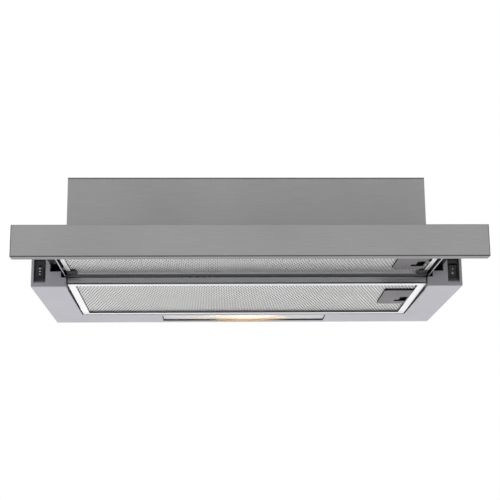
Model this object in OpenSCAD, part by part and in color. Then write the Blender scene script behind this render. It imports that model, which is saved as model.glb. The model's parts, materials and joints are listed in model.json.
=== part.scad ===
// Pull-out range hood: a slim base under a motor box, with a filter drawer behind a front panel.
// Millimetres. +X is to the right as seen from the front, +Y to the rear, +Z up.
// The origin is the centre of the deck's top face, in the middle of the cabinet fixings.
// The drawer is drawn pulled out to its stop.

/* [Base] */
// Width of the base body
body_w = 596; // [580:1:900]
// Depth of the base body, without the front panel
body_d = 284; // [280:1:300]
// Height of the base body
base_h = 44; // [44:1:48]
// Thickness of the folded sheet steel
sheet_t = 1; // [0.8:0.1:1]
// Width of an end block
block_w = 48; // [46:0.5:52]
// Depth of an end block
block_d = 26; // [24:1:30]
// Wall of an end block
block_t = 2.5; // [2:0.1:2.6]

/* [Motor box] */
// Width of the motor box
box_w = 504; // [490:1:520]
// Height of the motor box above the deck
box_h = 114; // [112:1:130]
// Distance of the motor box's front behind the base's front
box_setback = 6; // [4:1:7]

/* [Front panel] */
// Width of the front panel
panel_w = 598; // [596:1:900]
// Height of the front panel
panel_h = 41; // [38:1:43]
// Depth of the front panel's folded rims
panel_d = 16; // [14:1:20]

/* [Drawer] */
// How far the drawer is pulled out
drawer_out = 151; // [120:1:152]
// Gap left between panel and base when the drawer is shut
closed_gap = 0.5; // [0.3:0.1:2]
// Length of a drawer rail
rail_len = 259.5; // [255:0.5:259.5]
// Width of a drawer rail's channel
rail_w = 21.2; // [20.5:0.1:21.5]
// Height of a drawer rail's channel
rail_h = 13.5; // [13:0.1:13.5]
// Drop of the rail's inner web below the channel
web_drop = 15.4; // [12:0.1:15.5]
// Length of the drawer's top tray
tray_len = 163.5; // [150:0.5:170]
// Diameter of a slide ball
ball_d = 2.5; // [2.3:0.1:2.6]
// Balls in one row of a cage
ball_count = 6; // [3:1:7]

/* [Fixed filter] */
// Gap between the fixed filter and each side of its opening
filter_side_gap = 1.5; // [1.5:0.1:3]
// Depth of the fixed grease filter
filter_d = 208; // [190:1:208]
// Thickness of the fixed grease filter
filter_t = 10; // [9:0.5:10]
// Width of the fixed filter's frame bars
filter_bar = 10; // [8:0.5:12]
// Setback of the fixed filter's front edge
filter_setback = 6.5; // [6:0.5:7]
// Height of the filter's front edge above the underside
front_rise = 4.1; // [3:0.1:4.2]
// Height of the filter's rear edge above the underside
rear_rise = 0.6; // [0.3:0.1:2]

/* [Drawer filter] */
// Gap between the drawer's filter and the web of each rail
drawer_filter_side_gap = 2.5; // [2.5:0.1:3]
// Depth of the drawer's grease filter
drawer_filter_d = 153; // [140:1:153]
// Thickness of the drawer's grease filter
drawer_filter_t = 9; // [8.5:0.5:9]
// Width of the drawer filter's side bars
drawer_filter_bar = 6; // [4:0.5:8]
// Depth of the drawer filter's underside below the rail's top
filter_hang = 25; // [24.5:0.5:25]

/* [Filter catches] */
// Width of a catch plate
catch_w = 41; // [36:1:43]
// Length of a catch plate
catch_l = 90; // [76:1:92]
// Corner radius of a catch plate
catch_r = 6; // [3:0.5:8]

/* [Switches] */
// Width of a switch recess
recess_w = 16.3; // [15:0.1:17]
// Height of a switch recess
recess_h = 34; // [30:0.5:34]
// Depth of a switch recess
recess_d = 5; // [4:0.1:6]
// Travel of the speed slider over its three positions
slider_travel = 8; // [6:0.5:8]
// Height of the speed slider's knob
slider_h = 14.4; // [12:0.1:15]
// Height of the light rocker
rocker_h = 16.6; // [14:0.1:17]

/* [Lamp] */
// Width of the lamp's opening
lamp_w = 255; // [200:1:300]
// Depth of the lamp's opening
lamp_d = 47; // [40:1:48]
// Radius of the lamp bulb
bulb_r = 13; // [10:0.5:13]

/* [Blower] */
// Radius of the impeller
impeller_r = 80; // [70:1:80]
// Height of the impeller
impeller_h = 50; // [40:1:50]
// Blades on the impeller
blade_count = 36; // [24:1:44]
// Radius of the motor's case
motor_r = 46; // [40:1:48]
// Height of the motor's case
motor_h = 40; // [34:1:42]
// Radius of the motor shaft
shaft_r = 4; // [3:0.5:5]

/* [Duct] */
// Outer radius of the duct spigot
spigot_r = 60; // [50:1:61]
// Height of the spigot above the motor box
spigot_h = 22; // [20:1:26]
// Wall of the spigot
spigot_t = 2; // [1.5:0.1:2.5]

/* [Cabinet fixings] */
// Distance of a fixing from the base's side
fix_inset = 18; // [16:0.5:20]
// Spacing of the fixings across the depth
fix_y = 170; // [140:1:190]
// Radius of a fixing hole
fix_r = 2.75; // [2:0.05:3]

/* [Hidden] */
$fn = 48;

// Overrun of every cut past the face it opens
over = 1;
// Clearance between pieces that are set in each other
fit_gap = 0.2;
// Radial clearance of a shaft in its bearing
run_gap = 0.04;

// Places of the base
front_y = -body_d / 2;
back_y = body_d / 2;
under_z = -base_h;
side_x = body_w / 2;
opening_w = body_w - 2 * block_w;
web_x = opening_w / 2;
filter_w = opening_w - 2 * filter_side_gap;
drawer_filter_w = opening_w - 2 * drawer_filter_side_gap;
fix_x = body_w - 2 * fix_inset;
deck_under_z = -sheet_t;
floor_z = under_z + sheet_t;

// Places of the drawer, pulled out
slide_gap = 0.5;
panel_back_y = front_y - closed_gap - drawer_out;
panel_front_y = panel_back_y - panel_d;
rail_top_z = deck_under_z - slide_gap;
rail_low_z = rail_top_z - rail_h;
web_low_z = rail_low_z - web_drop;
rail_back_y = panel_back_y + rail_len;
rail_x = web_x + rail_w;
drawer_filter_z = rail_top_z - filter_hang;

// Notches that the drawer rails run through
notch_gap = 0.8;
notch_drop = 7.8;
notch_inner_w = 7;
notch_x = rail_x + notch_gap;
notch_upper_z = rail_low_z - notch_drop;
notch_lower_z = web_low_z - notch_gap;

// Slides: fixed member, balls and cage
bracket_gap = 2.8;
bracket_x = rail_x + bracket_gap;
bracket_drop = 23;
bracket_flange = 12;
bracket_tab_l = 120;
slide_front_y = front_y + block_d + 2 * slide_gap;
slide_end_gap = 13;
slide_back_y = rail_back_y + drawer_out - slide_end_gap;
slide_reach = 14;
slide_steel = 1.2;
ball_play = 0.1;
cage_t = 1;
cage_inset = 3;
cage_gap = 5;
ball_inset = 16;
ball_x = web_x + ball_inset;
ball_gap = ball_d + 2 * ball_play;
low_ball_z = rail_low_z + sheet_t + ball_gap / 2;
high_ball_z = rail_top_z - sheet_t - ball_gap / 2;
slide_low_z = low_ball_z + ball_gap / 2;
slide_high_z = high_ball_z - ball_gap / 2;
cage_front_y = slide_front_y + cage_inset;
cage_back_y = rail_back_y - cage_inset;

// Filter opening of the pan and the pan's upturned edges
pan_flange = 12;
opening_back_gap = 1.5;
tilt = asin((front_rise - rear_rise) / filter_d);
filter_front_y = front_y + filter_setback;
opening_back_y = filter_front_y + filter_d + opening_back_gap;

// Filter frames
frame_t = 0.8;
drawer_filter_gap = 1.5;
drawer_filter_front_y = panel_back_y + drawer_filter_gap;
drawer_filter_front_bar = 8;
drawer_filter_rear_bar = 2.5;
tongue_w = 12;
tongue_t = 2;
tongue_inset = 32;
tongue_share = [0, 1];
fixed_tongue = 2.6;
drawer_tongue = 4;
slot_gap = 0.5;
slot_rise = 3;

mesh_t = 0.6;
pleat_t = 0.5;
pleat_l = 8;
pleat_gap = 0.1;

// Catch plates and latches, placed from the filter's front edge
catch_front = 45.5;
drawer_catch_front = 35;
drawer_catch_inset = 4.4;
fixed_catch_x = filter_w / 2 - filter_bar;
drawer_catch_x = drawer_filter_w / 2 - drawer_filter_bar - drawer_catch_inset;
catch_skin = 1.6;
catch_proud = 0.4;
catch_wall = 1.5;
finger_w = 11;
finger_front = 43;
finger_l = 20;
finger_bar_w = 17;
finger_bar_l = 10;
pocket_w = 30;
pocket_l = 42;
pocket_front = 37;
latch_w = 10;
latch_t = 2.5;
latch_tab = 2.5;
latch_seat = 3.7;
latch_front = 46;
latch_reach = 10;
guide_wall = 2;
fixed_bolt = 3.3;
drawer_bolt = 4.8;

// Corner joiners of the drawer filter
corner_w = 13;
corner_l = 22;
corner_t = 0.6;

// End blocks and their switch recesses
block_edge = 2.5;
recess_rim = 3.7;
recess_wall = 1.2;
recess_low = 5;
recess_slope = 5.9;
recess_x1 = side_x - recess_rim;
recess_x0 = recess_x1 - recess_w;
recess_z0 = under_z + recess_low;
recess_z1 = recess_z0 + recess_h;
recess_back_y = front_y + recess_d;
recess_mid_x = (recess_x0 + recess_x1) / 2;
bezel_t = 2;
switch_body_w = 13;
switch_body_d = 15;
slider_w = 9.8;
slider_t = 2.4;
slider_low = 3.2;
slider_mid_z = recess_z0 + recess_slope + slider_low + slider_h / 2;
stem_w = 3;
stem_l = 6;
mark_proud = 0.3;
mark_r = 0.8;
mark_step = 4;
mark_lift = 0.7;
mark_bar_w = 3.4;
mark_bar_h = 1;
bezel_lap = 1;
rocker_w = 11;
rocker_rise = 17.7;
rocker_mid_z = recess_z0 + rocker_rise;
rocker_tilt = 12;
rocker_corner = 4.25;
rocker_valley = 2.4;
rocker_back = 3;
rocker_pivot_r = 1.2;
rocker_pivot_in = 4.4;
rocker_gap = 0.4;

// Microswitch that the shut drawer reaches
micro_w = 15;
micro_h = 14;
micro_inset = 4;
micro_x = web_x + micro_inset;
micro_z0 = rail_low_z - sheet_t;
plunger_r = 1.5;
plunger_out = 2.4;
plunger_in = 5;
plunger_gap = 0.4;
plunger_y = rail_back_y + drawer_out + plunger_gap;
micro_back_y = back_y - sheet_t;

// Lamp
lamp_gap = 8;
lamp_front_y = opening_back_y + lamp_gap;
lamp_back_y = lamp_front_y + lamp_d;
lamp_mid_y = (lamp_front_y + lamp_back_y) / 2;
lamp_rim = 2.5;
lens_lap = 3.5;
lens_t = 2.5;
housing_gap = 0.5;
housing_t = 0.8;
housing_top_z = -5;
bulb_z = -23;
bulb_l = 102;
bulb_neck_r = 7;
bulb_wide_share = [0.3, 0.7];
bulb_tip_share = 0.5;
holder_r = 12.5;
holder_l = 28;
holder_floor = 7;
holder_arm = 14;
reflector_r = 16.5;
reflector_t = 0.5;
reflector_l = 140.5;
reflector_x1 = bulb_l / 2 - reflector_t;
reflector_x0 = reflector_x1 - reflector_l;

// Duct spigot and its two flaps
spigot_x = 50;
spigot_y = 57;
spigot_flange_w = 5;
spigot_flange_t = 2;
spigot_ring_lap = 4;
spigot_ring_t = 1.5;
spigot_groove = 1;
spigot_groove_in = 0.6;
spigot_hole_r = spigot_r + spigot_flange_w + fit_gap;
spigot_neck_r = spigot_r - spigot_groove_in;
spigot_in_r = spigot_r - spigot_t;
ledge_w = 2;
flap_rise = 6;
flap_t = 1.2;
flap_gap = 0.6;
pin_r = 1.5;
knuckle_r = 3;
knuckle_gap = 0.4;
knuckle_l = 12;

// Blower
blower_x = -110;
blower_y = 0;
casing_t = 2;
casing_mid_z = 32;
casing_h = 64;
flap_pin_z = casing_h + spigot_flange_t + flap_rise;
scroll_gap = 6;
scroll_growth = 38;
scroll_r0 = impeller_r + scroll_gap;
scroll_r1 = scroll_r0 + scroll_growth;
scroll_start = 30;
scroll_turn = 300;
scroll_step = 10;
inlet_lap = 14;
inlet_r = impeller_r - inlet_lap;
impeller_low_z = 5;
impeller_plate = 2;
impeller_ring_w = 9;
blade_t = 1.2;
blade_chord = 12;
blade_sweep = 9;
blade_bend_share = [0, 0.15, 0.45, 1];
hub_r = 15;
hub_h = 22;
throat_y = scroll_r0 * sin(scroll_start);
plenum_gap = 10;
plenum_x0 = blower_x + scroll_r0 + plenum_gap;
plenum_x1 = spigot_x + spigot_r + 3 * casing_t;
plenum_y0 = spigot_y - spigot_r - 3 * casing_t;

// Motor and shaft
mount_h = 3;
motor_low_z = casing_h + mount_h;
motor_wall = 2;
boss_r = 11;
bush_r = 8;
bush_l = 8;
shaft_end = 2;
rotor_r = 21;
rotor_gap = 1;
stator_r0 = rotor_r + rotor_gap;
stator_gap = 0.5;
rotor_l = 22;
lug_count = 3;
lug_place_r = 54;
lug_r = 7;
lug_t = 3;
mount_r = 6;
motor_screw_l = 9;
motor_screw_r = 2;
screw_play = 0.2;
screw_head_r = 3.6;
screw_head_t = 2;
nut_r = 7;
nut_t = 6;
hub_top_gap = 4;

// Electrical pieces in the motor box
capacitor_r = 14;
capacitor_l = 50;
capacitor_inset = 47;
capacitor_x = box_w / 2 - capacitor_inset;
capacitor_y = -80;
terminal_w = 46;
terminal_d = 60;
terminal_h = 30;
terminal_inset = 26;
terminal_back_gap = 61;
terminal_x0 = box_w / 2 - terminal_inset - terminal_w;
terminal_y0 = back_y - sheet_t - terminal_back_gap - terminal_d;
terminal_wall = 2;
grommet_inset = 47;
grommet_back_gap = 51;
grommet_x = box_w / 2 - grommet_inset;
grommet_y = back_y - sheet_t - grommet_back_gap;
grommet_r = 9;
grommet_bore_r = 4;
grommet_seat_r = 7;
grommet_t = 3;

// Fastening places
fix_nut_r = 4.6;
fix_nut_t = 4;
box_flange = 13;
box_screw_x_share = [-0.9, -0.3, 0.3, 0.9];
box_screw_r = 1.75;
bar_screw_l = 6;
rail_screw_x = 12;
rail_screw_y = 129;
rail_screw_r = 2.2;
rail_screw_t = 1.2;
rail_tab_t = 1.2;
tab_screw_share = [0.25, 0.75];
bar_t = 1.2;

// Rear bar of the drawer
rear_bar_gap = 0.8;
rear_bar_l = 9;
rear_bar_h = 8.6;
rear_bar_low = 1.1;
tray_flange = 7.5;

// A block between two corners, each axis given as [low, high]
module slab(x, y, z) {
  translate([x[0], y[0], z[0]])
    cube([x[1] - x[0], y[1] - y[0], z[1] - z[0]]);
}

// The children and their mirror image across the middle plane
module both_sides() {
  children();
  mirror([1, 0, 0]) children();
}

// A profile drawn in Y and Z, carried along X
module along_x(x) {
  translate([x[0], 0, 0])
    rotate([90, 0, 90])
      linear_extrude(x[1] - x[0]) children();
}

// A profile drawn in X and Z, carried along Y
module along_y(y) {
  translate([0, y[1], 0])
    rotate([90, 0, 0])
      linear_extrude(y[1] - y[0]) children();
}

// A round bar along X, Y or Z
module rod_x(x, y, z, r) {
  translate([x[0], y, z]) rotate([0, 90, 0]) cylinder(h = x[1] - x[0], r = r);
}
module rod_y(x, y, z, r) {
  translate([x, y[0], z]) rotate([-90, 0, 0]) cylinder(h = y[1] - y[0], r = r);
}
module rod_z(x, y, z, r) {
  translate([x, y, z[0]]) cylinder(h = z[1] - z[0], r = r);
}

// A pan-head screw whose head sits on z = 0 and whose shank goes down
module screw(r, l, head_r, head_t) {
  cylinder(h = head_t, r = head_r);
  translate([0, 0, -l]) cylinder(h = l, r = r);
}

// A rectangle with round corners, drawn between two corners
module round_rect(x, y, r) {
  translate([x[0] + r, y[0]]) square([x[1] - x[0] - 2 * r, y[1] - y[0]]);
  translate([x[0], y[0] + r]) square([x[1] - x[0], y[1] - y[0] - 2 * r]);
  for (cx = [x[0] + r, x[1] - r])
    for (cy = [y[0] + r, y[1] - r])
      translate([cx, cy]) circle(r = r);
}

// Base pan: the painted tray that is seen from below, open over the filter and the lamp
module base_pan() {
  color("silver") {
    difference() {
      slab([-side_x, side_x], [front_y + block_t, back_y], [under_z, floor_z]);
      slab([-web_x, web_x], [front_y - over, opening_back_y], [under_z - over, floor_z + over]);
      slab([-lamp_w / 2, lamp_w / 2], [lamp_front_y, lamp_back_y], [under_z - over, floor_z + over]);
    }
    both_sides()
      slab([side_x - sheet_t, side_x], [front_y + block_t, back_y], [floor_z, deck_under_z]);
    slab([-side_x + sheet_t, side_x - sheet_t], [back_y - sheet_t, back_y], [floor_z, deck_under_z]);
    slab([-web_x - sheet_t, web_x + sheet_t], [opening_back_y, opening_back_y + sheet_t],
      [floor_z, under_z + lamp_gap]);
    pan_side_flange(1);
    mirror([1, 0, 0]) pan_side_flange(-1);
    lamp_rim_wall();
  }
}

// Upturned edge beside the filter, with the slots that the latch or the tongues enter
module pan_side_flange(side) {
  difference() {
    slab([web_x, web_x + sheet_t], [front_y + block_d + slide_gap, opening_back_y],
      [floor_z, under_z + pan_flange]);
    in_fixed_filter()
      if (side > 0)
        slab([web_x - over, web_x + sheet_t + over], latch_span(catch_front, slot_gap),
          [latch_seat - slot_gap, latch_seat + latch_t + slot_gap]);
      else
        for (s = tongue_share)
          slab([web_x - over, web_x + sheet_t + over], tongue_span(filter_d, s, slot_gap),
            [frame_t - slot_gap, frame_t + tongue_t + slot_rise]);
  }
}

// Low upstand round the lamp opening, on which the lens lies
module lamp_rim_wall() {
  difference() {
    slab([-lamp_w / 2 - sheet_t, lamp_w / 2 + sheet_t],
      [lamp_front_y - sheet_t, lamp_back_y + sheet_t], [floor_z, under_z + lamp_rim]);
    slab([-lamp_w / 2, lamp_w / 2], [lamp_front_y, lamp_back_y],
      [floor_z - over, under_z + lamp_rim + over]);
  }
}

// Deck: the plate on top of the base, with the blower's inlet and the cabinet fixings
module deck_plate() {
  color("lightgray")
    difference() {
      slab([-side_x, side_x], [front_y, back_y], [deck_under_z, 0]);
      rod_z(blower_x, blower_y, [deck_under_z - over, over], inlet_r);
      for (sx = [-1, 1])
        for (sy = [-1, 1])
          rod_z(sx * fix_x / 2, sy * fix_y / 2, [deck_under_z - over, over], fix_r);
      for (x = box_screw_places())
        rod_z(x, box_screw_y(), [deck_under_z - over, over], box_screw_r + screw_play);
    }
}

function box_front_y() = front_y + box_setback;
function box_back_y() = back_y - sheet_t;
function box_screw_places() = [for (s = box_screw_x_share) s * (box_w / 2 - box_flange)];
function box_screw_y() = box_front_y() + sheet_t + box_flange / 2;

// Motor box: front and two sides folded from one brushed sheet, with a foot flange at the front
module box_wrap() {
  color("darkgray") {
    slab([-box_w / 2, box_w / 2], [box_front_y(), box_front_y() + sheet_t], [0, box_h - sheet_t]);
    both_sides()
      slab([box_w / 2 - sheet_t, box_w / 2], [box_front_y() + sheet_t, box_back_y()],
        [0, box_h - sheet_t]);
    difference() {
      slab([-box_w / 2 + sheet_t, box_w / 2 - sheet_t],
        [box_front_y() + sheet_t, box_front_y() + sheet_t + box_flange], [0, sheet_t]);
      for (x = box_screw_places())
        rod_z(x, box_screw_y(), [-over, sheet_t + over], box_screw_r + screw_play);
    }
  }
}

// Back of the motor box
module box_back() {
  color("gainsboro") {
    slab([-box_w / 2 + sheet_t, box_w / 2 - sheet_t], [box_back_y() - sheet_t, box_back_y()],
      [0, box_h - sheet_t]);
    slab([-box_w / 2 + sheet_t, box_w / 2 - sheet_t],
      [box_back_y() - sheet_t - box_flange, box_back_y() - sheet_t],
      [box_h - 2 * sheet_t, box_h - sheet_t]);
  }
}

// Top of the motor box, with the spigot's hole and the cable hole
module box_top() {
  color("gainsboro")
    difference() {
      slab([-box_w / 2, box_w / 2], [box_front_y(), box_back_y()], [box_h - sheet_t, box_h]);
      rod_z(spigot_x, spigot_y, [box_h - sheet_t - over, box_h + over], spigot_hole_r);
      rod_z(grommet_x, grommet_y, [box_h - sheet_t - over, box_h + over], grommet_seat_r + fit_gap);
    }
}

// Outline of an end block, with the stepped notch at its inner top; wall is the distance inside it
module block_outline(wall, outer_x, low_z) {
  polygon([
    [web_x + wall, low_z + wall], [outer_x - wall - block_edge, low_z + wall],
    [outer_x - wall, low_z + wall + block_edge / 2], [outer_x - wall, deck_under_z - wall],
    [notch_x + wall, deck_under_z - wall], [notch_x + wall, notch_upper_z - wall],
    [web_x + notch_inner_w + wall, notch_upper_z - wall],
    [web_x + notch_inner_w + wall, notch_lower_z - wall], [web_x + wall, notch_lower_z - wall]]);
}

// Right end block: a moulded shell with a pocket for its switch
module end_block() {
  shell_x = side_x - sheet_t - fit_gap / 2;
  difference() {
    union() {
      along_y([front_y, front_y + block_t]) block_outline(0, side_x, under_z);
      difference() {
        along_y([front_y + block_t, front_y + block_d]) block_outline(0, shell_x, floor_z);
        along_y([front_y + block_t, front_y + block_d + over])
          block_outline(block_t, shell_x, floor_z);
      }
      slab([recess_x0 - block_t, shell_x - block_t / 2], [front_y + block_t, recess_back_y],
        [recess_z0 - recess_wall, recess_z1 + recess_wall]);
    }
    along_x([recess_x0, recess_x1])
      polygon([[front_y - over, recess_z0 - over * recess_slope / recess_d],
        [recess_back_y, recess_z0 + recess_slope], [recess_back_y + over, recess_z0 + recess_slope],
        [recess_back_y + over, recess_z1], [front_y - over, recess_z1]]);
  }
}
module right_end_block() {
  color("dimgray") end_block();
}
module left_end_block() {
  color("gray") mirror([1, 0, 0]) end_block();
}

// Bracket that hangs from the deck and carries a fixed slide
module slide_bracket() {
  color("lightgray") {
    slab([bracket_x, bracket_x + sheet_t], [slide_front_y, slide_back_y],
      [-bracket_drop, deck_under_z]);
    slab([bracket_x + sheet_t, bracket_x + bracket_flange], [-bracket_tab_l / 2, bracket_tab_l / 2],
      [deck_under_z - sheet_t, deck_under_z]);
  }
}
module right_slide_bracket() { slide_bracket(); }
module left_slide_bracket() { mirror([1, 0, 0]) slide_bracket(); }

// Fixed member of a slide, a C section open towards the drawer
module fixed_slide() {
  color("darkslategray") {
    slab([bracket_x - slide_steel, bracket_x], [slide_front_y, slide_back_y],
      [slide_low_z, slide_high_z]);
    for (z = [slide_low_z, slide_high_z - slide_steel])
      slab([bracket_x - slide_reach, bracket_x - slide_steel], [slide_front_y, slide_back_y],
        [z, z + slide_steel]);
  }
}
module right_fixed_slide() { fixed_slide(); }
module left_fixed_slide() { mirror([1, 0, 0]) fixed_slide(); }

// Ball cage of a slide, which rolls half as far as the drawer
module ball_cage() {
  pitch = (cage_back_y - cage_front_y) / ball_count;
  color("goldenrod") {
    for (z = [low_ball_z, high_ball_z])
      difference() {
        slab([web_x + sheet_t + cage_gap, rail_x - sheet_t], [cage_front_y, cage_back_y],
          [z - cage_t / 2, z + cage_t / 2]);
        for (n = [0 : ball_count - 1])
          rod_z(ball_x, cage_front_y + (n + 1 / 2) * pitch, [z - cage_t, z + cage_t],
            ball_d / 2 + ball_play);
      }
    slab([web_x + sheet_t + cage_gap, web_x + sheet_t + cage_gap + cage_t],
      [cage_front_y, cage_back_y], [low_ball_z + cage_t / 2, high_ball_z - cage_t / 2]);
  }
  color("silver")
    for (z = [low_ball_z, high_ball_z])
      for (n = [0 : ball_count - 1])
        translate([ball_x, cage_front_y + (n + 1 / 2) * pitch, z]) sphere(d = ball_d, $fn = 24);
}
module right_ball_cage() { ball_cage(); }
module left_ball_cage() { mirror([1, 0, 0]) ball_cage(); }

// Back plate of a switch, which closes the recess from behind
module switch_bezel() {
  slab([recess_x0 - bezel_lap, recess_x1], [recess_back_y, recess_back_y + bezel_t],
    [recess_z0, recess_z1 + bezel_lap]);
}

// Body of the three-position speed switch, behind the left recess
module speed_switch_body() {
  slot_w = stem_w + 2 * fit_gap;
  color("black")
    mirror([1, 0, 0])
      difference() {
        union() {
          switch_bezel();
          slab([recess_mid_x - switch_body_w / 2, recess_mid_x + switch_body_w / 2],
            [recess_back_y + bezel_t, recess_back_y + bezel_t + switch_body_d],
            [recess_z0 + recess_slope, recess_z1 - bezel_t]);
        }
        slab([recess_mid_x - slot_w / 2, recess_mid_x + slot_w / 2],
          [recess_back_y - over, recess_back_y + stem_l + fit_gap],
          [slider_mid_z - slot_w / 2, slider_mid_z + slot_w / 2 + slider_travel]);
      }
}

// Knob of the speed switch, with three plain marks
module speed_slider() {
  face_y = recess_back_y - fit_gap - slider_t;
  mark_z = slider_mid_z + mark_lift;
  color("#202022")
    mirror([1, 0, 0]) {
      slab([recess_mid_x - slider_w / 2, recess_mid_x + slider_w / 2],
        [face_y, recess_back_y - fit_gap],
        [slider_mid_z - slider_h / 2, slider_mid_z + slider_h / 2]);
      slab([recess_mid_x - stem_w / 2, recess_mid_x + stem_w / 2],
        [recess_back_y - fit_gap, recess_back_y + stem_l],
        [slider_mid_z - stem_w / 2, slider_mid_z + stem_w / 2]);
    }
  color("white")
    mirror([1, 0, 0]) {
      for (z = [mark_z - mark_step, mark_z])
        rod_y(recess_mid_x, [face_y - mark_proud, face_y], z, mark_r);
      slab([recess_mid_x - mark_bar_w / 2, recess_mid_x + mark_bar_w / 2],
        [face_y - mark_proud, face_y],
        [mark_z + mark_step - mark_bar_h / 2, mark_z + mark_step + mark_bar_h / 2]);
    }
}

// Body of the light switch, with a window and a pivot pin for the rocker
module light_switch_body() {
  window_w = rocker_w + 2 * rocker_gap;
  window_h = 2 * (norm([rocker_h / 2, rocker_corner]) + rocker_gap);
  pivot_y = recess_back_y + rocker_pivot_in;
  x0 = recess_mid_x - window_w / 2;
  x1 = recess_mid_x + window_w / 2;
  color("black") {
    difference() {
      union() {
        switch_bezel();
        slab([x0 - bezel_t, recess_x1],
          [recess_back_y + bezel_t, recess_back_y + bezel_t + switch_body_d],
          [rocker_mid_z - window_h / 2 - bezel_t, rocker_mid_z + window_h / 2 + bezel_t]);
      }
      slab([x0, x1], [recess_back_y - over, pivot_y + rocker_back + rocker_gap],
        [rocker_mid_z - window_h / 2, rocker_mid_z + window_h / 2]);
    }
    rod_x([x0, x1], pivot_y, rocker_mid_z, rocker_pivot_r);
  }
}

// Rocker of the light switch, drawn with its upper half out
module light_rocker() {
  color("#202022")
    translate([0, recess_back_y + rocker_pivot_in, rocker_mid_z])
      rotate([rocker_tilt, 0, 0])
        difference() {
          along_x([recess_mid_x - rocker_w / 2, recess_mid_x + rocker_w / 2])
            polygon([[-rocker_corner, rocker_h / 2], [-rocker_valley, 0],
              [-rocker_corner, -rocker_h / 2], [0, rocker_back - rocker_h / 2],
              [rocker_back, 0], [0, rocker_h / 2 - rocker_back]]);
          rod_x([recess_mid_x - rocker_w, recess_mid_x + rocker_w], 0, 0, rocker_pivot_r + run_gap);
        }
}

// Microswitch at the end of the right rail's travel
module drawer_microswitch() {
  color("black")
    difference() {
      slab([micro_x, micro_x + micro_w], [plunger_y + plunger_out, micro_back_y],
        [micro_z0, micro_z0 + micro_h]);
      rod_y(micro_x + micro_w / 2, [plunger_y, plunger_y + plunger_out + plunger_in + fit_gap],
        (rail_low_z + rail_top_z) / 2, plunger_r + ball_play);
    }
}
module microswitch_plunger() {
  color("red")
    rod_y(micro_x + micro_w / 2, [plunger_y, plunger_y + plunger_in],
      (rail_low_z + rail_top_z) / 2, plunger_r);
}

// Lamp: housing, reflector, holder, bulb and lens
module lamp_housing() {
  x1 = lamp_w / 2 + lens_lap + housing_gap + housing_t;
  y0 = lamp_front_y - lens_lap - housing_gap - housing_t;
  y1 = lamp_back_y + lens_lap + housing_gap + housing_t;
  color("gainsboro")
    difference() {
      slab([-x1, x1], [y0, y1], [floor_z, housing_top_z]);
      slab([-x1 + housing_t, x1 - housing_t], [y0 + housing_t, y1 - housing_t],
        [floor_z - over, housing_top_z - housing_t]);
    }
}
module lamp_reflector() {
  wing = lamp_d / 2 + lens_lap + housing_gap;
  color("white") {
    difference() {
      rod_x([reflector_x0, reflector_x1], lamp_mid_y, bulb_z, reflector_r);
      rod_x([reflector_x0 - over, reflector_x1 + over], lamp_mid_y, bulb_z,
        reflector_r - reflector_t);
      slab([reflector_x0 - over, reflector_x1 + over],
        [lamp_mid_y - reflector_r - over, lamp_mid_y + reflector_r + over],
        [bulb_z - reflector_r - over, bulb_z]);
    }
    for (y = [[lamp_mid_y - wing, lamp_mid_y - reflector_r + reflector_t],
        [lamp_mid_y + reflector_r - reflector_t, lamp_mid_y + wing]])
      slab([reflector_x0, reflector_x1], y, [bulb_z, bulb_z + reflector_t]);
  }
}
module lamp_holder() {
  end_x = bulb_l / 2 + holder_l;
  color("ivory") {
    difference() {
      rod_x([bulb_l / 2, end_x], lamp_mid_y, bulb_z, holder_r);
      rod_x([bulb_l / 2 - over, end_x - holder_floor], lamp_mid_y, bulb_z, bulb_neck_r + fit_gap);
    }
    slab([end_x - holder_floor, end_x], [lamp_mid_y - holder_arm / 2, lamp_mid_y + holder_arm / 2],
      [bulb_z + holder_arm / 2, housing_top_z - housing_t]);
  }
}
// Candle-shaped bulb, standing with its base against the holder's floor
module lamp_bulb() {
  base_l = holder_l - holder_floor;
  color("lightyellow")
    translate([bulb_l / 2 + base_l, lamp_mid_y, bulb_z])
      rotate([0, -90, 0])
        rotate_extrude()
          polygon([[0, 0], [bulb_neck_r, 0], [bulb_neck_r, base_l + bulb_neck_r],
            [bulb_r, base_l + bulb_l * bulb_wide_share[0]],
            [bulb_r, base_l + bulb_l * bulb_wide_share[1]],
            [bulb_r * bulb_tip_share, base_l + bulb_l - bulb_r / 2], [0, base_l + bulb_l]]);
}
module lamp_lens() {
  color("azure")
    slab([-lamp_w / 2 - lens_lap, lamp_w / 2 + lens_lap],
      [lamp_front_y - lens_lap, lamp_back_y + lens_lap],
      [under_z + lamp_rim, under_z + lamp_rim + lens_t]);
}

// Plan of the blower's air space, spiral, throat and plenum; grow is the distance outside it
function scroll_point(turn, grow) =
  let (r = scroll_r0 + (scroll_r1 - scroll_r0) * turn / scroll_turn + grow)
  [blower_x + r * cos(scroll_start - turn), blower_y + r * sin(scroll_start - turn)];
module air_plan(grow) {
  first = asin((throat_y - grow) / (scroll_r0 + grow));
  polygon([
    [blower_x + (scroll_r0 + grow) * cos(first), blower_y + throat_y - grow],
    for (turn = [scroll_step : scroll_step : scroll_turn]) scroll_point(turn, grow),
    [plenum_x1 + grow, blower_y + scroll_r1 + grow], [plenum_x1 + grow, plenum_y0 - grow],
    [plenum_x0 - grow, plenum_y0 - grow], [plenum_x0 - grow, blower_y + throat_y - grow]]);
}

// Lower half of the blower casing, with the inlet over the deck's hole
module scroll_base() {
  color("slategray")
    difference() {
      linear_extrude(casing_mid_z) air_plan(casing_t);
      translate([0, 0, casing_t]) linear_extrude(casing_mid_z) air_plan(0);
      rod_z(blower_x, blower_y, [-over, casing_t + over], inlet_r);
    }
}

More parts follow.
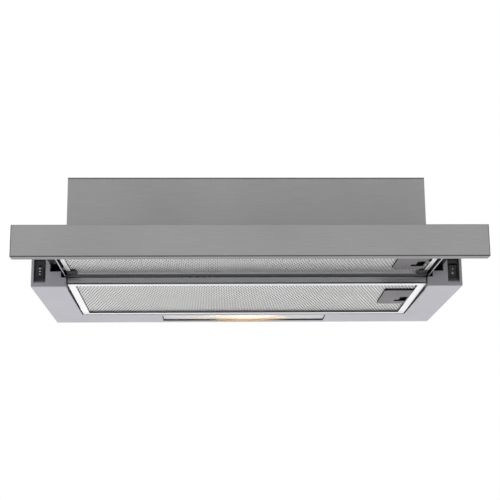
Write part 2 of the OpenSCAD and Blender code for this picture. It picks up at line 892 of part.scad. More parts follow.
// Upper half of the blower casing, which carries the motor and the spigot
module scroll_lid() {
  color("slategray")
    difference() {
      translate([0, 0, casing_mid_z]) linear_extrude(casing_h - casing_mid_z) air_plan(casing_t);
      translate([0, 0, casing_mid_z - over])
        linear_extrude(casing_h - casing_mid_z - casing_t + over) air_plan(0);
      rod_z(blower_x, blower_y, [casing_mid_z, casing_h + over], hub_r + casing_t);
      rod_z(spigot_x, spigot_y, [casing_mid_z, casing_h + over], spigot_in_r);
      at_lugs() cylinder(h = casing_h + over, r = motor_screw_r + screw_play);
    }
}

// The three places round the motor where it is screwed down
module at_lugs() {
  for (n = [0 : lug_count - 1])
    translate([blower_x, blower_y, 0])
      rotate([0, 0, n * 360 / lug_count])
        translate([lug_place_r, 0, 0]) children();
}

// Motor case: a closed can with two bush seats and three lugs
module motor_case() {
  top_z = motor_low_z + motor_h;
  color("silver")
    difference() {
      union() {
        rod_z(blower_x, blower_y, [motor_low_z, top_z], motor_r);
        at_lugs()
          translate([0, 0, motor_low_z]) {
            cylinder(h = lug_t, r = lug_r);
            translate([-lug_r - motor_wall, -lug_r, 0]) cube([lug_r + motor_wall, 2 * lug_r, lug_t]);
          }
      }
      difference() {
        rod_z(blower_x, blower_y, [motor_low_z + motor_wall, top_z - motor_wall],
          motor_r - motor_wall);
        rod_z(blower_x, blower_y, [motor_low_z, motor_low_z + bush_l], boss_r);
        rod_z(blower_x, blower_y, [top_z - bush_l, top_z], boss_r);
      }
      rod_z(blower_x, blower_y, [motor_low_z - over, top_z + over], bush_r);
      at_lugs()
        translate([0, 0, motor_low_z - over])
          cylinder(h = lug_t + 2 * over, r = motor_screw_r + screw_play);
    }
}
module motor_stator() {
  color("saddlebrown")
    difference() {
      rod_z(blower_x, blower_y,
        [motor_low_z + bush_l + stator_gap, motor_low_z + motor_h - bush_l - stator_gap],
        motor_r - motor_wall);
      rod_z(blower_x, blower_y, [motor_low_z, motor_low_z + motor_h], stator_r0);
    }
}
module motor_bushes() {
  color("peru")
    for (z = [motor_low_z, motor_low_z + motor_h - bush_l])
      difference() {
        rod_z(blower_x, blower_y, [z, z + bush_l], bush_r);
        rod_z(blower_x, blower_y, [z - over, z + bush_l + over], shaft_r + run_gap);
      }
}
module motor_mounts() {
  color("black")
    at_lugs()
      translate([0, 0, casing_h])
        difference() {
          cylinder(h = mount_h, r = mount_r);
          translate([0, 0, -over])
            cylinder(h = mount_h + 2 * over, r = motor_screw_r + screw_play);
        }
}
module motor_screws() {
  color("silver")
    at_lugs()
      translate([0, 0, motor_low_z + lug_t])
        screw(motor_screw_r, motor_screw_l, screw_head_r, screw_head_t);
}

// Turning parts of the blower
module impeller() {
  top_z = impeller_low_z + impeller_h;
  color("dimgray")
    difference() {
      union() {
        rod_z(blower_x, blower_y, [top_z - impeller_plate, top_z], impeller_r);
        rod_z(blower_x, blower_y, [top_z - hub_h, top_z + hub_top_gap], hub_r);
        difference() {
          rod_z(blower_x, blower_y, [impeller_low_z, impeller_low_z + impeller_plate], impeller_r);
          rod_z(blower_x, blower_y, [impeller_low_z - over, impeller_low_z + impeller_plate + over],
            impeller_r - impeller_ring_w);
        }
        translate([blower_x, blower_y, impeller_low_z])
          for (n = [0 : blade_count - 1])
            rotate([0, 0, n * 360 / blade_count]) linear_extrude(impeller_h) blade_plan();
      }
      rod_z(blower_x, blower_y, [impeller_low_z, top_z + hub_top_gap + over], shaft_r);
    }
}
// One forward-curved blade, from its inner edge to the rim
function blade_point(n, side) =
  let (last = len(blade_bend_share) - 1)
  let (r = impeller_r - blade_chord + (blade_chord - blade_t) * n / last - side * blade_t / 4)
  let (a = blade_sweep * blade_bend_share[n])
  [r * cos(a) - side * sin(a) * blade_t / 2, r * sin(a) + side * cos(a) * blade_t / 2];
module blade_plan() {
  last = len(blade_bend_share) - 1;
  polygon([for (n = [0 : last]) blade_point(n, -1), for (n = [last : -1 : 0]) blade_point(n, 1)]);
}
module motor_shaft() {
  color("silver")
    rod_z(blower_x, blower_y, [impeller_low_z + impeller_h - hub_h - nut_t - shaft_end,
      motor_low_z + motor_h], shaft_r);
}
module motor_rotor() {
  mid_z = motor_low_z + motor_h / 2;
  color("dimgray")
    difference() {
      rod_z(blower_x, blower_y, [mid_z - rotor_l / 2, mid_z + rotor_l / 2], rotor_r);
      rod_z(blower_x, blower_y, [mid_z - rotor_l, mid_z + rotor_l], shaft_r);
    }
}
module impeller_nut() {
  top_z = impeller_low_z + impeller_h - hub_h;
  color("silver")
    difference() {
      translate([blower_x, blower_y, top_z - nut_t]) cylinder(h = nut_t, r = nut_r, $fn = 6);
      rod_z(blower_x, blower_y, [top_z - nut_t - over, top_z + over], shaft_r);
    }
}

// Duct spigot: flange on the casing lid, ring on the box top, groove under the duct's seat,
// and a ledge under the flaps
module outlet_spigot() {
  groove_z = box_h + spigot_ring_t + spigot_groove;
  color("black")
    difference() {
      union() {
        rod_z(spigot_x, spigot_y, [casing_h, casing_h + spigot_flange_t], spigot_r + spigot_flange_w);
        rod_z(spigot_x, spigot_y, [casing_h, groove_z], spigot_neck_r);
        rod_z(spigot_x, spigot_y, [box_h, box_h + spigot_ring_t],
          spigot_hole_r + spigot_ring_lap);
        rod_z(spigot_x, spigot_y, [groove_z, box_h + spigot_h], spigot_r);
      }
      rod_z(spigot_x, spigot_y, [casing_h - over, box_h + spigot_h + over], spigot_in_r - ledge_w);
      rod_z(spigot_x, spigot_y, [flap_pin_z - flap_t / 2 - ball_play, box_h + spigot_h + over],
        spigot_in_r);
      rod_y(spigot_x, [spigot_y - spigot_r - over, spigot_y + spigot_r + over], flap_pin_z, pin_r);
    }
}
module flap_pin() {
  color("silver")
    rod_y(spigot_x, [spigot_y - spigot_neck_r + fit_gap, spigot_y + spigot_neck_r - fit_gap],
      flap_pin_z, pin_r);
}
// A half-round flap; its knuckles take turns with the other flap's along the pin
module flap(first) {
  inner_r = spigot_in_r - flap_gap;
  pitch = knuckle_l + knuckle_gap;
  color("darkgray")
    translate([spigot_x, spigot_y, flap_pin_z])
      difference() {
        union() {
          intersection() {
            translate([0, 0, -flap_t / 2]) cylinder(h = flap_t, r = inner_r);
            slab([knuckle_r + knuckle_gap, inner_r], [-inner_r, inner_r], [-flap_t, flap_t]);
          }
          for (n = [first : 2 : 3]) {
            y = (n - 2) * pitch + knuckle_gap / 2;
            rod_y(0, [y, y + knuckle_l], 0, knuckle_r);
            slab([0, knuckle_r + 2 * knuckle_gap], [y, y + knuckle_l], [-flap_t / 2, flap_t / 2]);
          }
        }
        rod_y(0, [-spigot_r, spigot_r], 0, pin_r + run_gap);
      }
}
module right_flap() { flap(0); }
module left_flap() {
  translate([2 * spigot_x, 2 * spigot_y, 0]) rotate([0, 0, 180]) flap(0);
}

// Electrical pieces
module capacitor() {
  color("white") rod_z(capacitor_x, capacitor_y, [0, capacitor_l], capacitor_r);
}
module terminal_box() {
  color("black")
    difference() {
      slab([terminal_x0, terminal_x0 + terminal_w], [terminal_y0, terminal_y0 + terminal_d],
        [0, terminal_h]);
      slab([terminal_x0 + terminal_wall, terminal_x0 + terminal_w - terminal_wall],
        [terminal_y0 + terminal_wall, terminal_y0 + terminal_d - terminal_wall],
        [-over, terminal_h - terminal_wall]);
    }
}
module cable_grommet() {
  color("black")
    difference() {
      union() {
        rod_z(grommet_x, grommet_y, [box_h, box_h + grommet_t], grommet_r);
        rod_z(grommet_x, grommet_y, [box_h - sheet_t, box_h], grommet_seat_r);
        rod_z(grommet_x, grommet_y, [box_h - sheet_t - grommet_t, box_h - sheet_t], grommet_r);
      }
      rod_z(grommet_x, grommet_y, [box_h - sheet_t - grommet_t - over, box_h + grommet_t + over],
        grommet_bore_r);
    }
}

// Weld nuts under the deck, for the screws that come down through the cabinet's floor
module fixing_nuts() {
  color("silver")
    for (sx = [-1, 1])
      for (sy = [-1, 1])
        difference() {
          rod_z(sx * fix_x / 2, sy * fix_y / 2, [deck_under_z - fix_nut_t, deck_under_z], fix_nut_r);
          rod_z(sx * fix_x / 2, sy * fix_y / 2, [deck_under_z - fix_nut_t - over, 0], fix_r);
        }
}

// Screws that hold the motor box's foot flange to the deck
module chassis_screws() {
  color("silver")
    for (x = box_screw_places())
      translate([x, box_screw_y(), sheet_t])
        screw(box_screw_r, 2 * sheet_t, screw_head_r, screw_head_t);
}

// Front panel: brushed face with rims folded back all round
module front_panel() {
  color("darkgray")
    difference() {
      slab([-panel_w / 2, panel_w / 2], [panel_front_y, panel_back_y], [-panel_h, 0]);
      slab([-panel_w / 2 + sheet_t, panel_w / 2 - sheet_t],
        [panel_front_y + sheet_t, panel_back_y + over], [-panel_h + sheet_t, -sheet_t]);
    }
}

// Crossbar inside the panel, which joins it to the two rails
module drawer_crossbar() {
  x1 = rail_x - sheet_t;
  z0 = -panel_h + sheet_t;
  color("gainsboro")
    difference() {
      slab([-x1, x1], [panel_front_y + sheet_t, panel_back_y], [z0, -sheet_t]);
      slab([-x1 - over, x1 + over], [panel_front_y + sheet_t - over, panel_back_y - bar_t],
        [z0 + bar_t, -sheet_t - bar_t]);
      at_tab_screws()
        translate([0, 0, -bar_t - over]) cylinder(h = bar_t + 2 * over, r = box_screw_r + screw_play);
    }
}

// Places of the screws through each rail's front tab, pointing to the rear
module at_tab_screws() {
  both_sides()
    for (s = tab_screw_share)
      translate([web_x + sheet_t + s * (rail_w - sheet_t), panel_back_y, (rail_low_z + rail_top_z) / 2])
        rotate([-90, 0, 0]) children();
}

// Top tray of the drawer
module drawer_tray() {
  z1 = rail_top_z;
  color("lightgray") {
    slab([-web_x, web_x], [panel_back_y, panel_back_y + tray_len], [z1 - sheet_t, z1]);
    both_sides()
      slab([web_x - sheet_t, web_x], [panel_back_y, panel_back_y + tray_len],
        [z1 - sheet_t - tray_flange, z1 - sheet_t]);
  }
}

// Drawer rail: channel for the slide, inner web beside the filter, front tab; the right one
// takes the latch bolt and the left one the tongues
module drawer_rail(side) {
  screw_y = panel_back_y + rail_screw_y;
  color("#1c1c1e")
    difference() {
      union() {
        slab([web_x, web_x + sheet_t], [panel_back_y, rail_back_y], [web_low_z, rail_top_z]);
        for (z = [rail_low_z, rail_top_z - sheet_t])
          slab([web_x + sheet_t, rail_x], [panel_back_y, rail_back_y], [z, z + sheet_t]);
        slab([web_x + sheet_t, rail_x], [panel_back_y, panel_back_y + rail_tab_t],
          [rail_low_z + sheet_t, rail_top_z - sheet_t]);
      }
      at_tab_screws()
        translate([0, 0, -over]) cylinder(h = rail_tab_t + 2 * over, r = box_screw_r + screw_play);
      rod_z(web_x + rail_screw_x, screw_y, [rail_low_z - over, rail_low_z + 2 * sheet_t], box_screw_r);
      in_drawer_filter()
        if (side > 0)
          slab([web_x - over, web_x + sheet_t + over], latch_span(drawer_catch_front, slot_gap),
            [latch_seat - slot_gap, latch_seat + latch_t + slot_gap]);
        else
          for (s = tongue_share)
            slab([web_x - over, web_x + sheet_t + over], tongue_span(drawer_filter_d, s, slot_gap),
              [frame_t - slot_gap, frame_t + tongue_t + slot_rise]);
    }
}
module right_drawer_rail() { drawer_rail(1); }
module left_drawer_rail() { mirror([1, 0, 0]) drawer_rail(-1); }

// Bar that ties the two rails together behind the filter
module drawer_rear_bar() {
  y0 = drawer_filter_front_y + drawer_filter_d + rear_bar_gap;
  z0 = drawer_filter_z - rear_bar_low;
  color("#1c1c1e")
    slab([-web_x, web_x], [y0, y0 + rear_bar_l], [z0, z0 + rear_bar_h]);
}

// Screws of the drawer: two through each tab, one in the underside of each rail
module drawer_screws() {
  color("silver") {
    at_tab_screws()
      translate([0, 0, rail_tab_t]) screw(box_screw_r, bar_screw_l, screw_head_r, screw_head_t);
    both_sides()
      translate([web_x + rail_screw_x, panel_back_y + rail_screw_y, rail_low_z])
        rotate([180, 0, 0]) screw(box_screw_r, sheet_t, rail_screw_r, rail_screw_t);
  }
}

// Placing of the two filters, whose own corner is the middle of the front edge underneath
module in_fixed_filter() {
  translate([0, filter_front_y, under_z + front_rise]) rotate([-tilt, 0, 0]) children();
}
module in_drawer_filter() {
  translate([0, drawer_filter_front_y, drawer_filter_z]) children();
}

function latch_span(catch_y, gap) =
  [catch_y + latch_front - gap, catch_y + latch_front + latch_w + gap];
function tongue_span(d, share, gap) =
  let (y = tongue_inset + share * (d - 2 * tongue_inset) - tongue_w / 2)
  [y - gap, y + tongue_w + gap];

// Filter frame: a folded channel all round, with two tongues on the left and a bolt hole on the right
module filter_frame(w, d, t, side_bar, front_bar, rear_bar, tongue, catch_y) {
  color("whitesmoke")
    difference() {
      union() {
        difference() {
          slab([-w / 2, w / 2], [0, d], [0, t]);
          slab([-w / 2 + frame_t, w / 2 - frame_t], [frame_t, d - frame_t], [frame_t, t - frame_t]);
          slab([-w / 2 + side_bar, w / 2 - side_bar], [front_bar, d - rear_bar], [-over, t + over]);
        }
        for (s = tongue_share)
          slab([-w / 2 - tongue, -w / 2], tongue_span(d, s, 0), [frame_t, frame_t + tongue_t]);
      }
      slab([w / 2 - frame_t - over, w / 2 + over], latch_span(catch_y, slot_gap),
        [latch_seat - slot_gap, latch_seat + latch_t + slot_gap]);
    }
}

// Filter media: two coarse outer sheets and a pleated one between them, cut away for the catch
module filter_media(w, d, t, catch_x1, catch_y) {
  edge = frame_t + fit_gap / 2;
  low = frame_t + mesh_t;
  high = t - frame_t - mesh_t;
  color("gainsboro")
    difference() {
      union() {
        slab([-w / 2 + edge, w / 2 - edge], [edge, d - edge], [frame_t, low]);
        slab([-w / 2 + edge, w / 2 - edge], [edge, d - edge], [high, t - frame_t]);
        along_x([-w / 2 + frame_t, w / 2 - frame_t])
          pleats(edge, d - edge, low + pleat_gap, high - pleat_gap);
      }
      slab([catch_x1 - catch_w - fit_gap / 2, catch_x1 + fit_gap / 2],
        [catch_y - fit_gap / 2, catch_y + catch_l + fit_gap / 2], [-over, t + over]);
      slab([catch_x1 - over, w / 2], latch_span(catch_y, guide_wall + fit_gap / 2), [-over, t + over]);
    }
}

// Zigzag of the pleated sheet between two heights, with whole pleats over its length
module pleats(y0, y1, z0, z1) {
  folds = 2 * round((y1 - y0) / (2 * pleat_l));
  step = (y1 - y0) / folds;
  polygon([
    for (n = [0 : folds]) [y0 + n * step, n % 2 == 0 ? z0 : z1 - pleat_t],
    for (n = [folds : -1 : 0]) [y0 + n * step, n % 2 == 0 ? z0 + pleat_t : z1]]);
}

// Catch: rounded plate with an L-shaped finger opening over a shallow pocket
module filter_catch(w, t, x1, catch_y) {
  y1 = catch_y + catch_l;
  top_z = t - frame_t - fit_gap / 2;
  inner_x = x1 - catch_wall;
  finger_y = catch_y + finger_front;
  color("gray")
    difference() {
      union() {
        translate([0, 0, catch_proud])
          linear_extrude(top_z - catch_proud) round_rect([x1 - catch_w, x1], [catch_y, y1], catch_r);
        slab([x1 - over, w / 2 - frame_t], latch_span(catch_y, guide_wall), [frame_t, t - frame_t]);
      }
      slab([inner_x - pocket_w, inner_x],
        [catch_y + pocket_front, catch_y + pocket_front + pocket_l],
        [catch_proud + catch_skin, top_z - catch_wall / 2]);
      slab([inner_x - finger_w, inner_x], [finger_y, finger_y + finger_l],
        [-over, catch_proud + catch_skin + over]);
      slab([inner_x - finger_bar_w, inner_x],
        [finger_y + finger_l - over, finger_y + finger_l + finger_bar_l],
        [-over, catch_proud + catch_skin + over]);
      slab([inner_x - over, w / 2 + over], latch_span(catch_y, slot_gap / 2),
        [latch_seat - slot_gap / 2, latch_seat + latch_t + slot_gap / 2]);
    }
}

// Latch: a sliding bolt with a finger tab
module filter_latch(catch_x1, end_x, catch_y) {
  x0 = catch_x1 - latch_reach;
  color("dimgray") {
    slab([x0, end_x], latch_span(catch_y, 0), [latch_seat, latch_seat + latch_t]);
    slab([x0, x0 + latch_tab], latch_span(catch_y, 0), [catch_proud + catch_skin + fit_gap, latch_seat]);
  }
}

module fixed_filter_frame() {
  in_fixed_filter()
    filter_frame(filter_w, filter_d, filter_t, filter_bar, filter_bar, filter_bar, fixed_tongue,
      catch_front);
}
module fixed_filter_media() {
  in_fixed_filter() filter_media(filter_w, filter_d, filter_t, fixed_catch_x, catch_front);
}
module fixed_filter_catch() {
  in_fixed_filter() filter_catch(filter_w, filter_t, fixed_catch_x, catch_front);
}
module fixed_filter_latch() {
  in_fixed_filter() filter_latch(fixed_catch_x, filter_w / 2 + fixed_bolt, catch_front);
}
module drawer_filter_frame() {
  in_drawer_filter()
    filter_frame(drawer_filter_w, drawer_filter_d, drawer_filter_t, drawer_filter_bar,
      drawer_filter_front_bar, drawer_filter_rear_bar, drawer_tongue, drawer_catch_front);
}
module drawer_filter_media() {
  in_drawer_filter()
    filter_media(drawer_filter_w, drawer_filter_d, drawer_filter_t, drawer_catch_x,
      drawer_catch_front);
}
module drawer_filter_catch() {
  in_drawer_filter()
    filter_catch(drawer_filter_w, drawer_filter_t, drawer_catch_x, drawer_catch_front);
}
module drawer_filter_latch() {
  in_drawer_filter()
    filter_latch(drawer_catch_x, drawer_filter_w / 2 + drawer_bolt, drawer_catch_front);
}

// Plastic joiners under the drawer filter's rear corners
module drawer_filter_corners() {
  color("#1c1c1e")
    in_drawer_filter()
      both_sides()
        slab([drawer_filter_w / 2 - corner_w, drawer_filter_w / 2],
          [drawer_filter_d - corner_l, drawer_filter_d], [-corner_t, 0]);
}

base_pan();
deck_plate();
box_wrap();
box_back();
box_top();
left_end_block();
right_end_block();
left_slide_bracket();
right_slide_bracket();
left_fixed_slide();
right_fixed_slide();
speed_switch_body();
light_switch_body();
drawer_microswitch();
lamp_housing();
lamp_reflector();
lamp_holder();
lamp_bulb();
lamp_lens();
scroll_base();
scroll_lid();
motor_case();
motor_stator();
motor_bushes();
motor_mounts();
motor_screws();
outlet_spigot();
flap_pin();
capacitor();
terminal_box();
cable_grommet();
fixing_nuts();
chassis_screws();
impeller();
motor_shaft();
motor_rotor();
impeller_nut();
left_flap();
right_flap();
speed_slider();
light_rocker();
microswitch_plunger();
front_panel();
drawer_crossbar();
drawer_tray();
left_drawer_rail();
right_drawer_rail();
drawer_rear_bar();
drawer_screws();
left_ball_cage();
right_ball_cage();
fixed_filter_frame();
fixed_filter_media();
fixed_filter_catch();
fixed_filter_latch();
drawer_filter_frame();
drawer_filter_media();
drawer_filter_catch();
drawer_filter_latch();
drawer_filter_corners();
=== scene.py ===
import json
import math

import bmesh
import bpy
from mathutils import Matrix, Vector


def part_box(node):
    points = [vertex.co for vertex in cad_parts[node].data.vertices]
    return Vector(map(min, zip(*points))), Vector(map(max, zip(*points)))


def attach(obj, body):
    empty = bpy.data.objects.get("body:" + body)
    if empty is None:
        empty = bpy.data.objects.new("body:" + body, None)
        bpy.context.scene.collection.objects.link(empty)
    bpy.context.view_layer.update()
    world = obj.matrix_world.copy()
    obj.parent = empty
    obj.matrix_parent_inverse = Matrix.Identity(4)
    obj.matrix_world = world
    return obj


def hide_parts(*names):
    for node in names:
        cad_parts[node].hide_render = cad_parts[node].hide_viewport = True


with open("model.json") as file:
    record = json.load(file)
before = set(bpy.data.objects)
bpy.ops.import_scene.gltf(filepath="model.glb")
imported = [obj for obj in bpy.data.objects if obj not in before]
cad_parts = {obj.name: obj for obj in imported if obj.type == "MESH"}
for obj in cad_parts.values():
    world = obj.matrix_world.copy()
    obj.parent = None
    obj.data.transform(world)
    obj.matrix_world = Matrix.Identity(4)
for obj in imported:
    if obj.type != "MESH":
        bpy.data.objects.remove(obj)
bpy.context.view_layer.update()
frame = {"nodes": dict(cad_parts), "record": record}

# The looks of a pull-out range hood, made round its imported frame.
# Metres; +X is to the right seen from the front, +Y to the wall, +Z up.
MM = 0.001

# Camera: long lens, low and in front, looking up into the hood
LENS_MM = 85.1
SENSOR_MM = 36
LENS_NEAR = 0.05                # nothing closer than this is drawn
CAMERA_PLACE = (-0.0456, -1.7370, -0.3757)
CAMERA_PITCH = 13.490
CAMERA_YAW = 1.760
CAMERA_ROLL = 0.522

# Filters by body: origin of each one's own axes, tilt, width, depth, height, catch's corner
FILTERS = {
    "fixed_filter": (Vector((0, -0.1355, -0.0399)), math.radians(-0.9641), 0.497, 0.208, 0.010,
                     (0.1975, 0.0455)),
    "drawer_filter": (Vector((0, -0.2920, -0.0265)), 0.0, 0.495, 0.153, 0.009, (0.1961, 0.035)),
}
CATCH_WIDE, CATCH_LONG = 41 * MM, 90 * MM
CATCH_FACE = 0.9 * MM           # deeper than this, a catch is painted dark as shade
FILTER_WALL = 1.0 * MM          # frame sheet and the play inside it
FILTER_BAR = 10 * MM            # rear bar of the fixed filter's frame
LIP_SHADOW_BAND = (0.8 * MM, 2.2 * MM)   # band of painted shadow on its front lip, above the lip's bottom
SKIN = 0.5 * MM                 # how deep a painted face reaches into its piece

# Other places that a finish follows
BEND = 1.2 * MM                 # width of the painted shade along the bends of the steel sheets
GLOW = (20 * MM, 70 * MM)       # where the painted glow of the bulb on the gasket starts to fade, and ends
# The filter's opening in the base pan: half width, front and rear end of its sides
PAN_OPENING = (250 * MM, -115.5 * MM, 74 * MM)
# Switch recesses: nearer and farther side from the middle, bottom, top, and start of the painted
# shade
RECESS = (277.5 * MM, 294.8 * MM, -39.5 * MM, -4.5 * MM, -140.2 * MM)

# Open layers of expanded aluminium below and above each filter's packed core. A real diamond is
# about 8 mm by 4 mm; it is drawn longer so that its rows show at the hood's distance.
DIAMOND_LONG = 15 * MM
DIAMOND_WIDE = 4.8 * MM
STRAND_WIDE = 1.15 * MM
STRAND_THICK = 0.35 * MM
STRAND_TWIST = 0.07 * MM
LAYER_DEPTH = 2.7 * MM          # of the open layers, from the filter's faces
CORE_DEPTH = 4.1 * MM

# Rocker of the light switch: its pivot, rest tilt, and the section of its two faces
ROCKER_PIVOT = Vector((0.28615, -0.1326, -0.0213))
ROCKER_TILT = math.radians(12)
ROCKER_VALLEY = 2.4 * MM
ROCKER_CORNER = (4.25 * MM, 8.3 * MM)
MARK_SHARE = 0.34               # how far along each face its mark lies

# Copies of CAD nodes: corners closer than WELD are one, and so are faces that meet at less than
# FLAT_ANGLE. Edges that turn more than EDGE_ANGLE are rounded, more than SHADE_ANGLE shaded sharp.
WELD = 0.002 * MM
FLAT_ANGLE = math.radians(1)
EDGE_ANGLE = math.radians(30)
SHADE_ANGLE = math.radians(40)

# Between which values, of 0 to 1, the noise of a grain and of a cloud mostly stays
GRAIN_RANGE = (0.3, 0.7)
CLOUD_RANGE = (0.35, 0.65)

# The room that metal mirrors: its level in each direction, and the parts of a direction, from -1
# to 1, between which one level turns into another
ROOM_FRONT, ROOM_BACK, ROOM_SIDES, ROOM_BELOW = 0.665, 1.05, 0.26, 0.10
ROOM_TURN = (0.3, 0.8)          # along Y, from the sides to the front or back
ROOM_DROP = (-0.9, -0.3)        # along Z, from below to the sides
ROOM_CENTRE, ROOM_SPREAD = 0.05, 0.2   # along X, from the middle to where it is brighter
ROOM_WIDE = 1.30                # how much brighter it is there
ROOM_SOFT = 0.5                 # share of it that lights matt surfaces

# Floor: it turns white between the two distances
FLOOR_HEIGHT, FLOOR_RADIUS = -2.1, 9
FLOOR_FADE = (2.3, 4.0)

# Soft round lamps, which metal doesn't mirror: place, what each points at, width and watts
LAMPS = {
    "left_lamp": ((-1.8, -1.9, -0.3), (0, -0.1, 0), 1.6, 24),
    "right_lamp": ((1.8, -1.9, -0.3), (0, -0.1, 0), 1.6, 10),
    "under_lamp": ((0, 0.35, -1.7), (0, 0, -0.04), 2.2, 14.8),
    "back_lamp": ((0.6, 1.9, 1.1), (0, 0, 0.05), 1.4, 26),
}


# ---- Finishes -----------------------------------------------------------------------------


def colour(code):
    """A colour written as sRGB hex, made linear."""
    parts = [int(code[i:i + 2], 16) / 255 for i in (1, 3, 5)]
    return [p / 12.92 if p <= 0.04045 else ((p + 0.055) / 1.055) ** 2.4 for p in parts] + [1.0]


def add(tree, kind, inputs=None, **settings):
    """Adds one shader node. Each input is a number, a vector, a colour or another node's output."""
    made = tree.nodes.new(kind)
    for name, value in settings.items():
        setattr(made, name, value)
    for key, value in (inputs or {}).items():
        if isinstance(value, bpy.types.NodeSocket):
            tree.links.new(value, made.inputs[key])
        else:
            made.inputs[key].default_value = value
    return made


def grain(tree, size_mm, stretch=(1, 1, 1), detail=2.0, cells=False):
    """A grain of a real size in millimetres on the piece's own axes, made longer by stretch."""
    place = add(tree, "ShaderNodeTexCoord").outputs["Object"]
    scale = [1 / (size_mm * MM * s) for s in stretch]
    spread = add(tree, "ShaderNodeMapping", {"Vector": place, "Scale": scale}).outputs["Vector"]
    if cells:
        return add(tree, "ShaderNodeTexVoronoi", {"Vector": spread, "Scale": 1.0}).outputs["Color"]
    noise = {"Vector": spread, "Scale": 1.0, "Detail": detail}
    return add(tree, "ShaderNodeTexNoise", noise).outputs["Fac"]


def hood_finish(name, dark, light, rough, metal=0.0, size_mm=1.0, stretch=(1, 1, 1), relief_mm=0.0,
                detail=2.0, cells=False, cloud_mm=60.0, across=None, sockets=None):
    """One finish: tone, gloss and relief follow one grain, and a broad cloud varies the gloss.
    across is the direction in which brushing spreads what the metal mirrors."""
    material = bpy.data.materials.new(name)
    material.use_nodes = True
    tree = material.node_tree
    shader = tree.nodes["Principled BSDF"]
    fine = grain(tree, size_mm, stretch, detail, cells)
    cloud = grain(tree, cloud_mm)
    # sockets 6 and 7 of a Mix node, and its output 2, are the coloured ones
    tone = add(tree, "ShaderNodeMix", {"Factor": fine, 6: colour(dark), 7: colour(light)},
               data_type="RGBA").outputs[2]
    tree.links.new(tone, shader.inputs["Base Color"])
    half = (rough[1] - rough[0]) / 2
    first = add(tree, "ShaderNodeMapRange",
                {"Value": fine, "From Min": GRAIN_RANGE[0], "From Max": GRAIN_RANGE[1],
                 "To Min": rough[0], "To Max": rough[0] + half})
    second = add(tree, "ShaderNodeMapRange",
                 {"Value": cloud, "From Min": CLOUD_RANGE[0], "From Max": CLOUD_RANGE[1],
                  "To Min": 0.0, "To Max": half})
    gloss = add(tree, "ShaderNodeMath", {0: first.outputs[0], 1: second.outputs[0]},
                operation="ADD")
    tree.links.new(gloss.outputs[0], shader.inputs["Roughness"])
    if relief_mm:
        bump = add(tree, "ShaderNodeBump", {"Height": fine, "Distance": relief_mm * MM,
                                            "Strength": 1.0})
        tree.links.new(bump.outputs["Normal"], shader.inputs["Normal"])
    if across:
        way = add(tree, "ShaderNodeCombineXYZ", dict(enumerate(across)))
        tree.links.new(way.outputs["Vector"], shader.inputs["Tangent"])
    shader.inputs["Metallic"].default_value = metal
    for key, value in (sockets or {}).items():
        shader.inputs[key].default_value = value
    return material


def packed_mesh(name, dark, light):
    """Packed layers of expanded aluminium inside a filter: dim painted glints of strand over
    painted shade in the gaps, in cells of about 2 mm by 5 mm as the real diamonds lie across each
    other."""
    return hood_finish(name, dark, light, (0.36, 0.60), metal=0.8, size_mm=2, stretch=(1, 2.5, 1),
                       relief_mm=0.25, detail=1, cells=True)


def variant(finish, name):
    """A copy of a finish, for a piece that is coloured in places."""
    made = finish.copy()
    made.name = name
    return made


def recoloured(material, share, code):
    """Turns a material to another colour, as far as share says, from 0 to 1."""
    tree = material.node_tree
    shader = tree.nodes["Principled BSDF"]
    base = shader.inputs["Base Color"].links[0].from_socket
    tone = add(tree, "ShaderNodeMix", {"Factor": share, 6: base, 7: colour(code)},
               data_type="RGBA").outputs[2]
    tree.links.new(tone, shader.inputs["Base Color"])
    return material


def painted_where(material, limits, code, metal=False):
    """Gives what lies beyond every limit along its direction another colour, or bare metal: a
    mark, a cut edge or painted shade, such as the dark inside of an opening."""
    tree = material.node_tree
    place = add(tree, "ShaderNodeTexCoord").outputs["Object"]
    there = 1.0
    for way, limit in limits:
        along = add(tree, "ShaderNodeVectorMath", {0: place, 1: way}, operation="DOT_PRODUCT")
        beyond = add(tree, "ShaderNodeMath", {0: along.outputs["Value"], 1: limit},
                     operation="GREATER_THAN").outputs[0]
        there = add(tree, "ShaderNodeMath", {0: beyond, 1: there}, operation="MULTIPLY").outputs[0]
    if metal:
        tree.links.new(there, tree.nodes["Principled BSDF"].inputs["Metallic"])
    return recoloured(material, there, code)


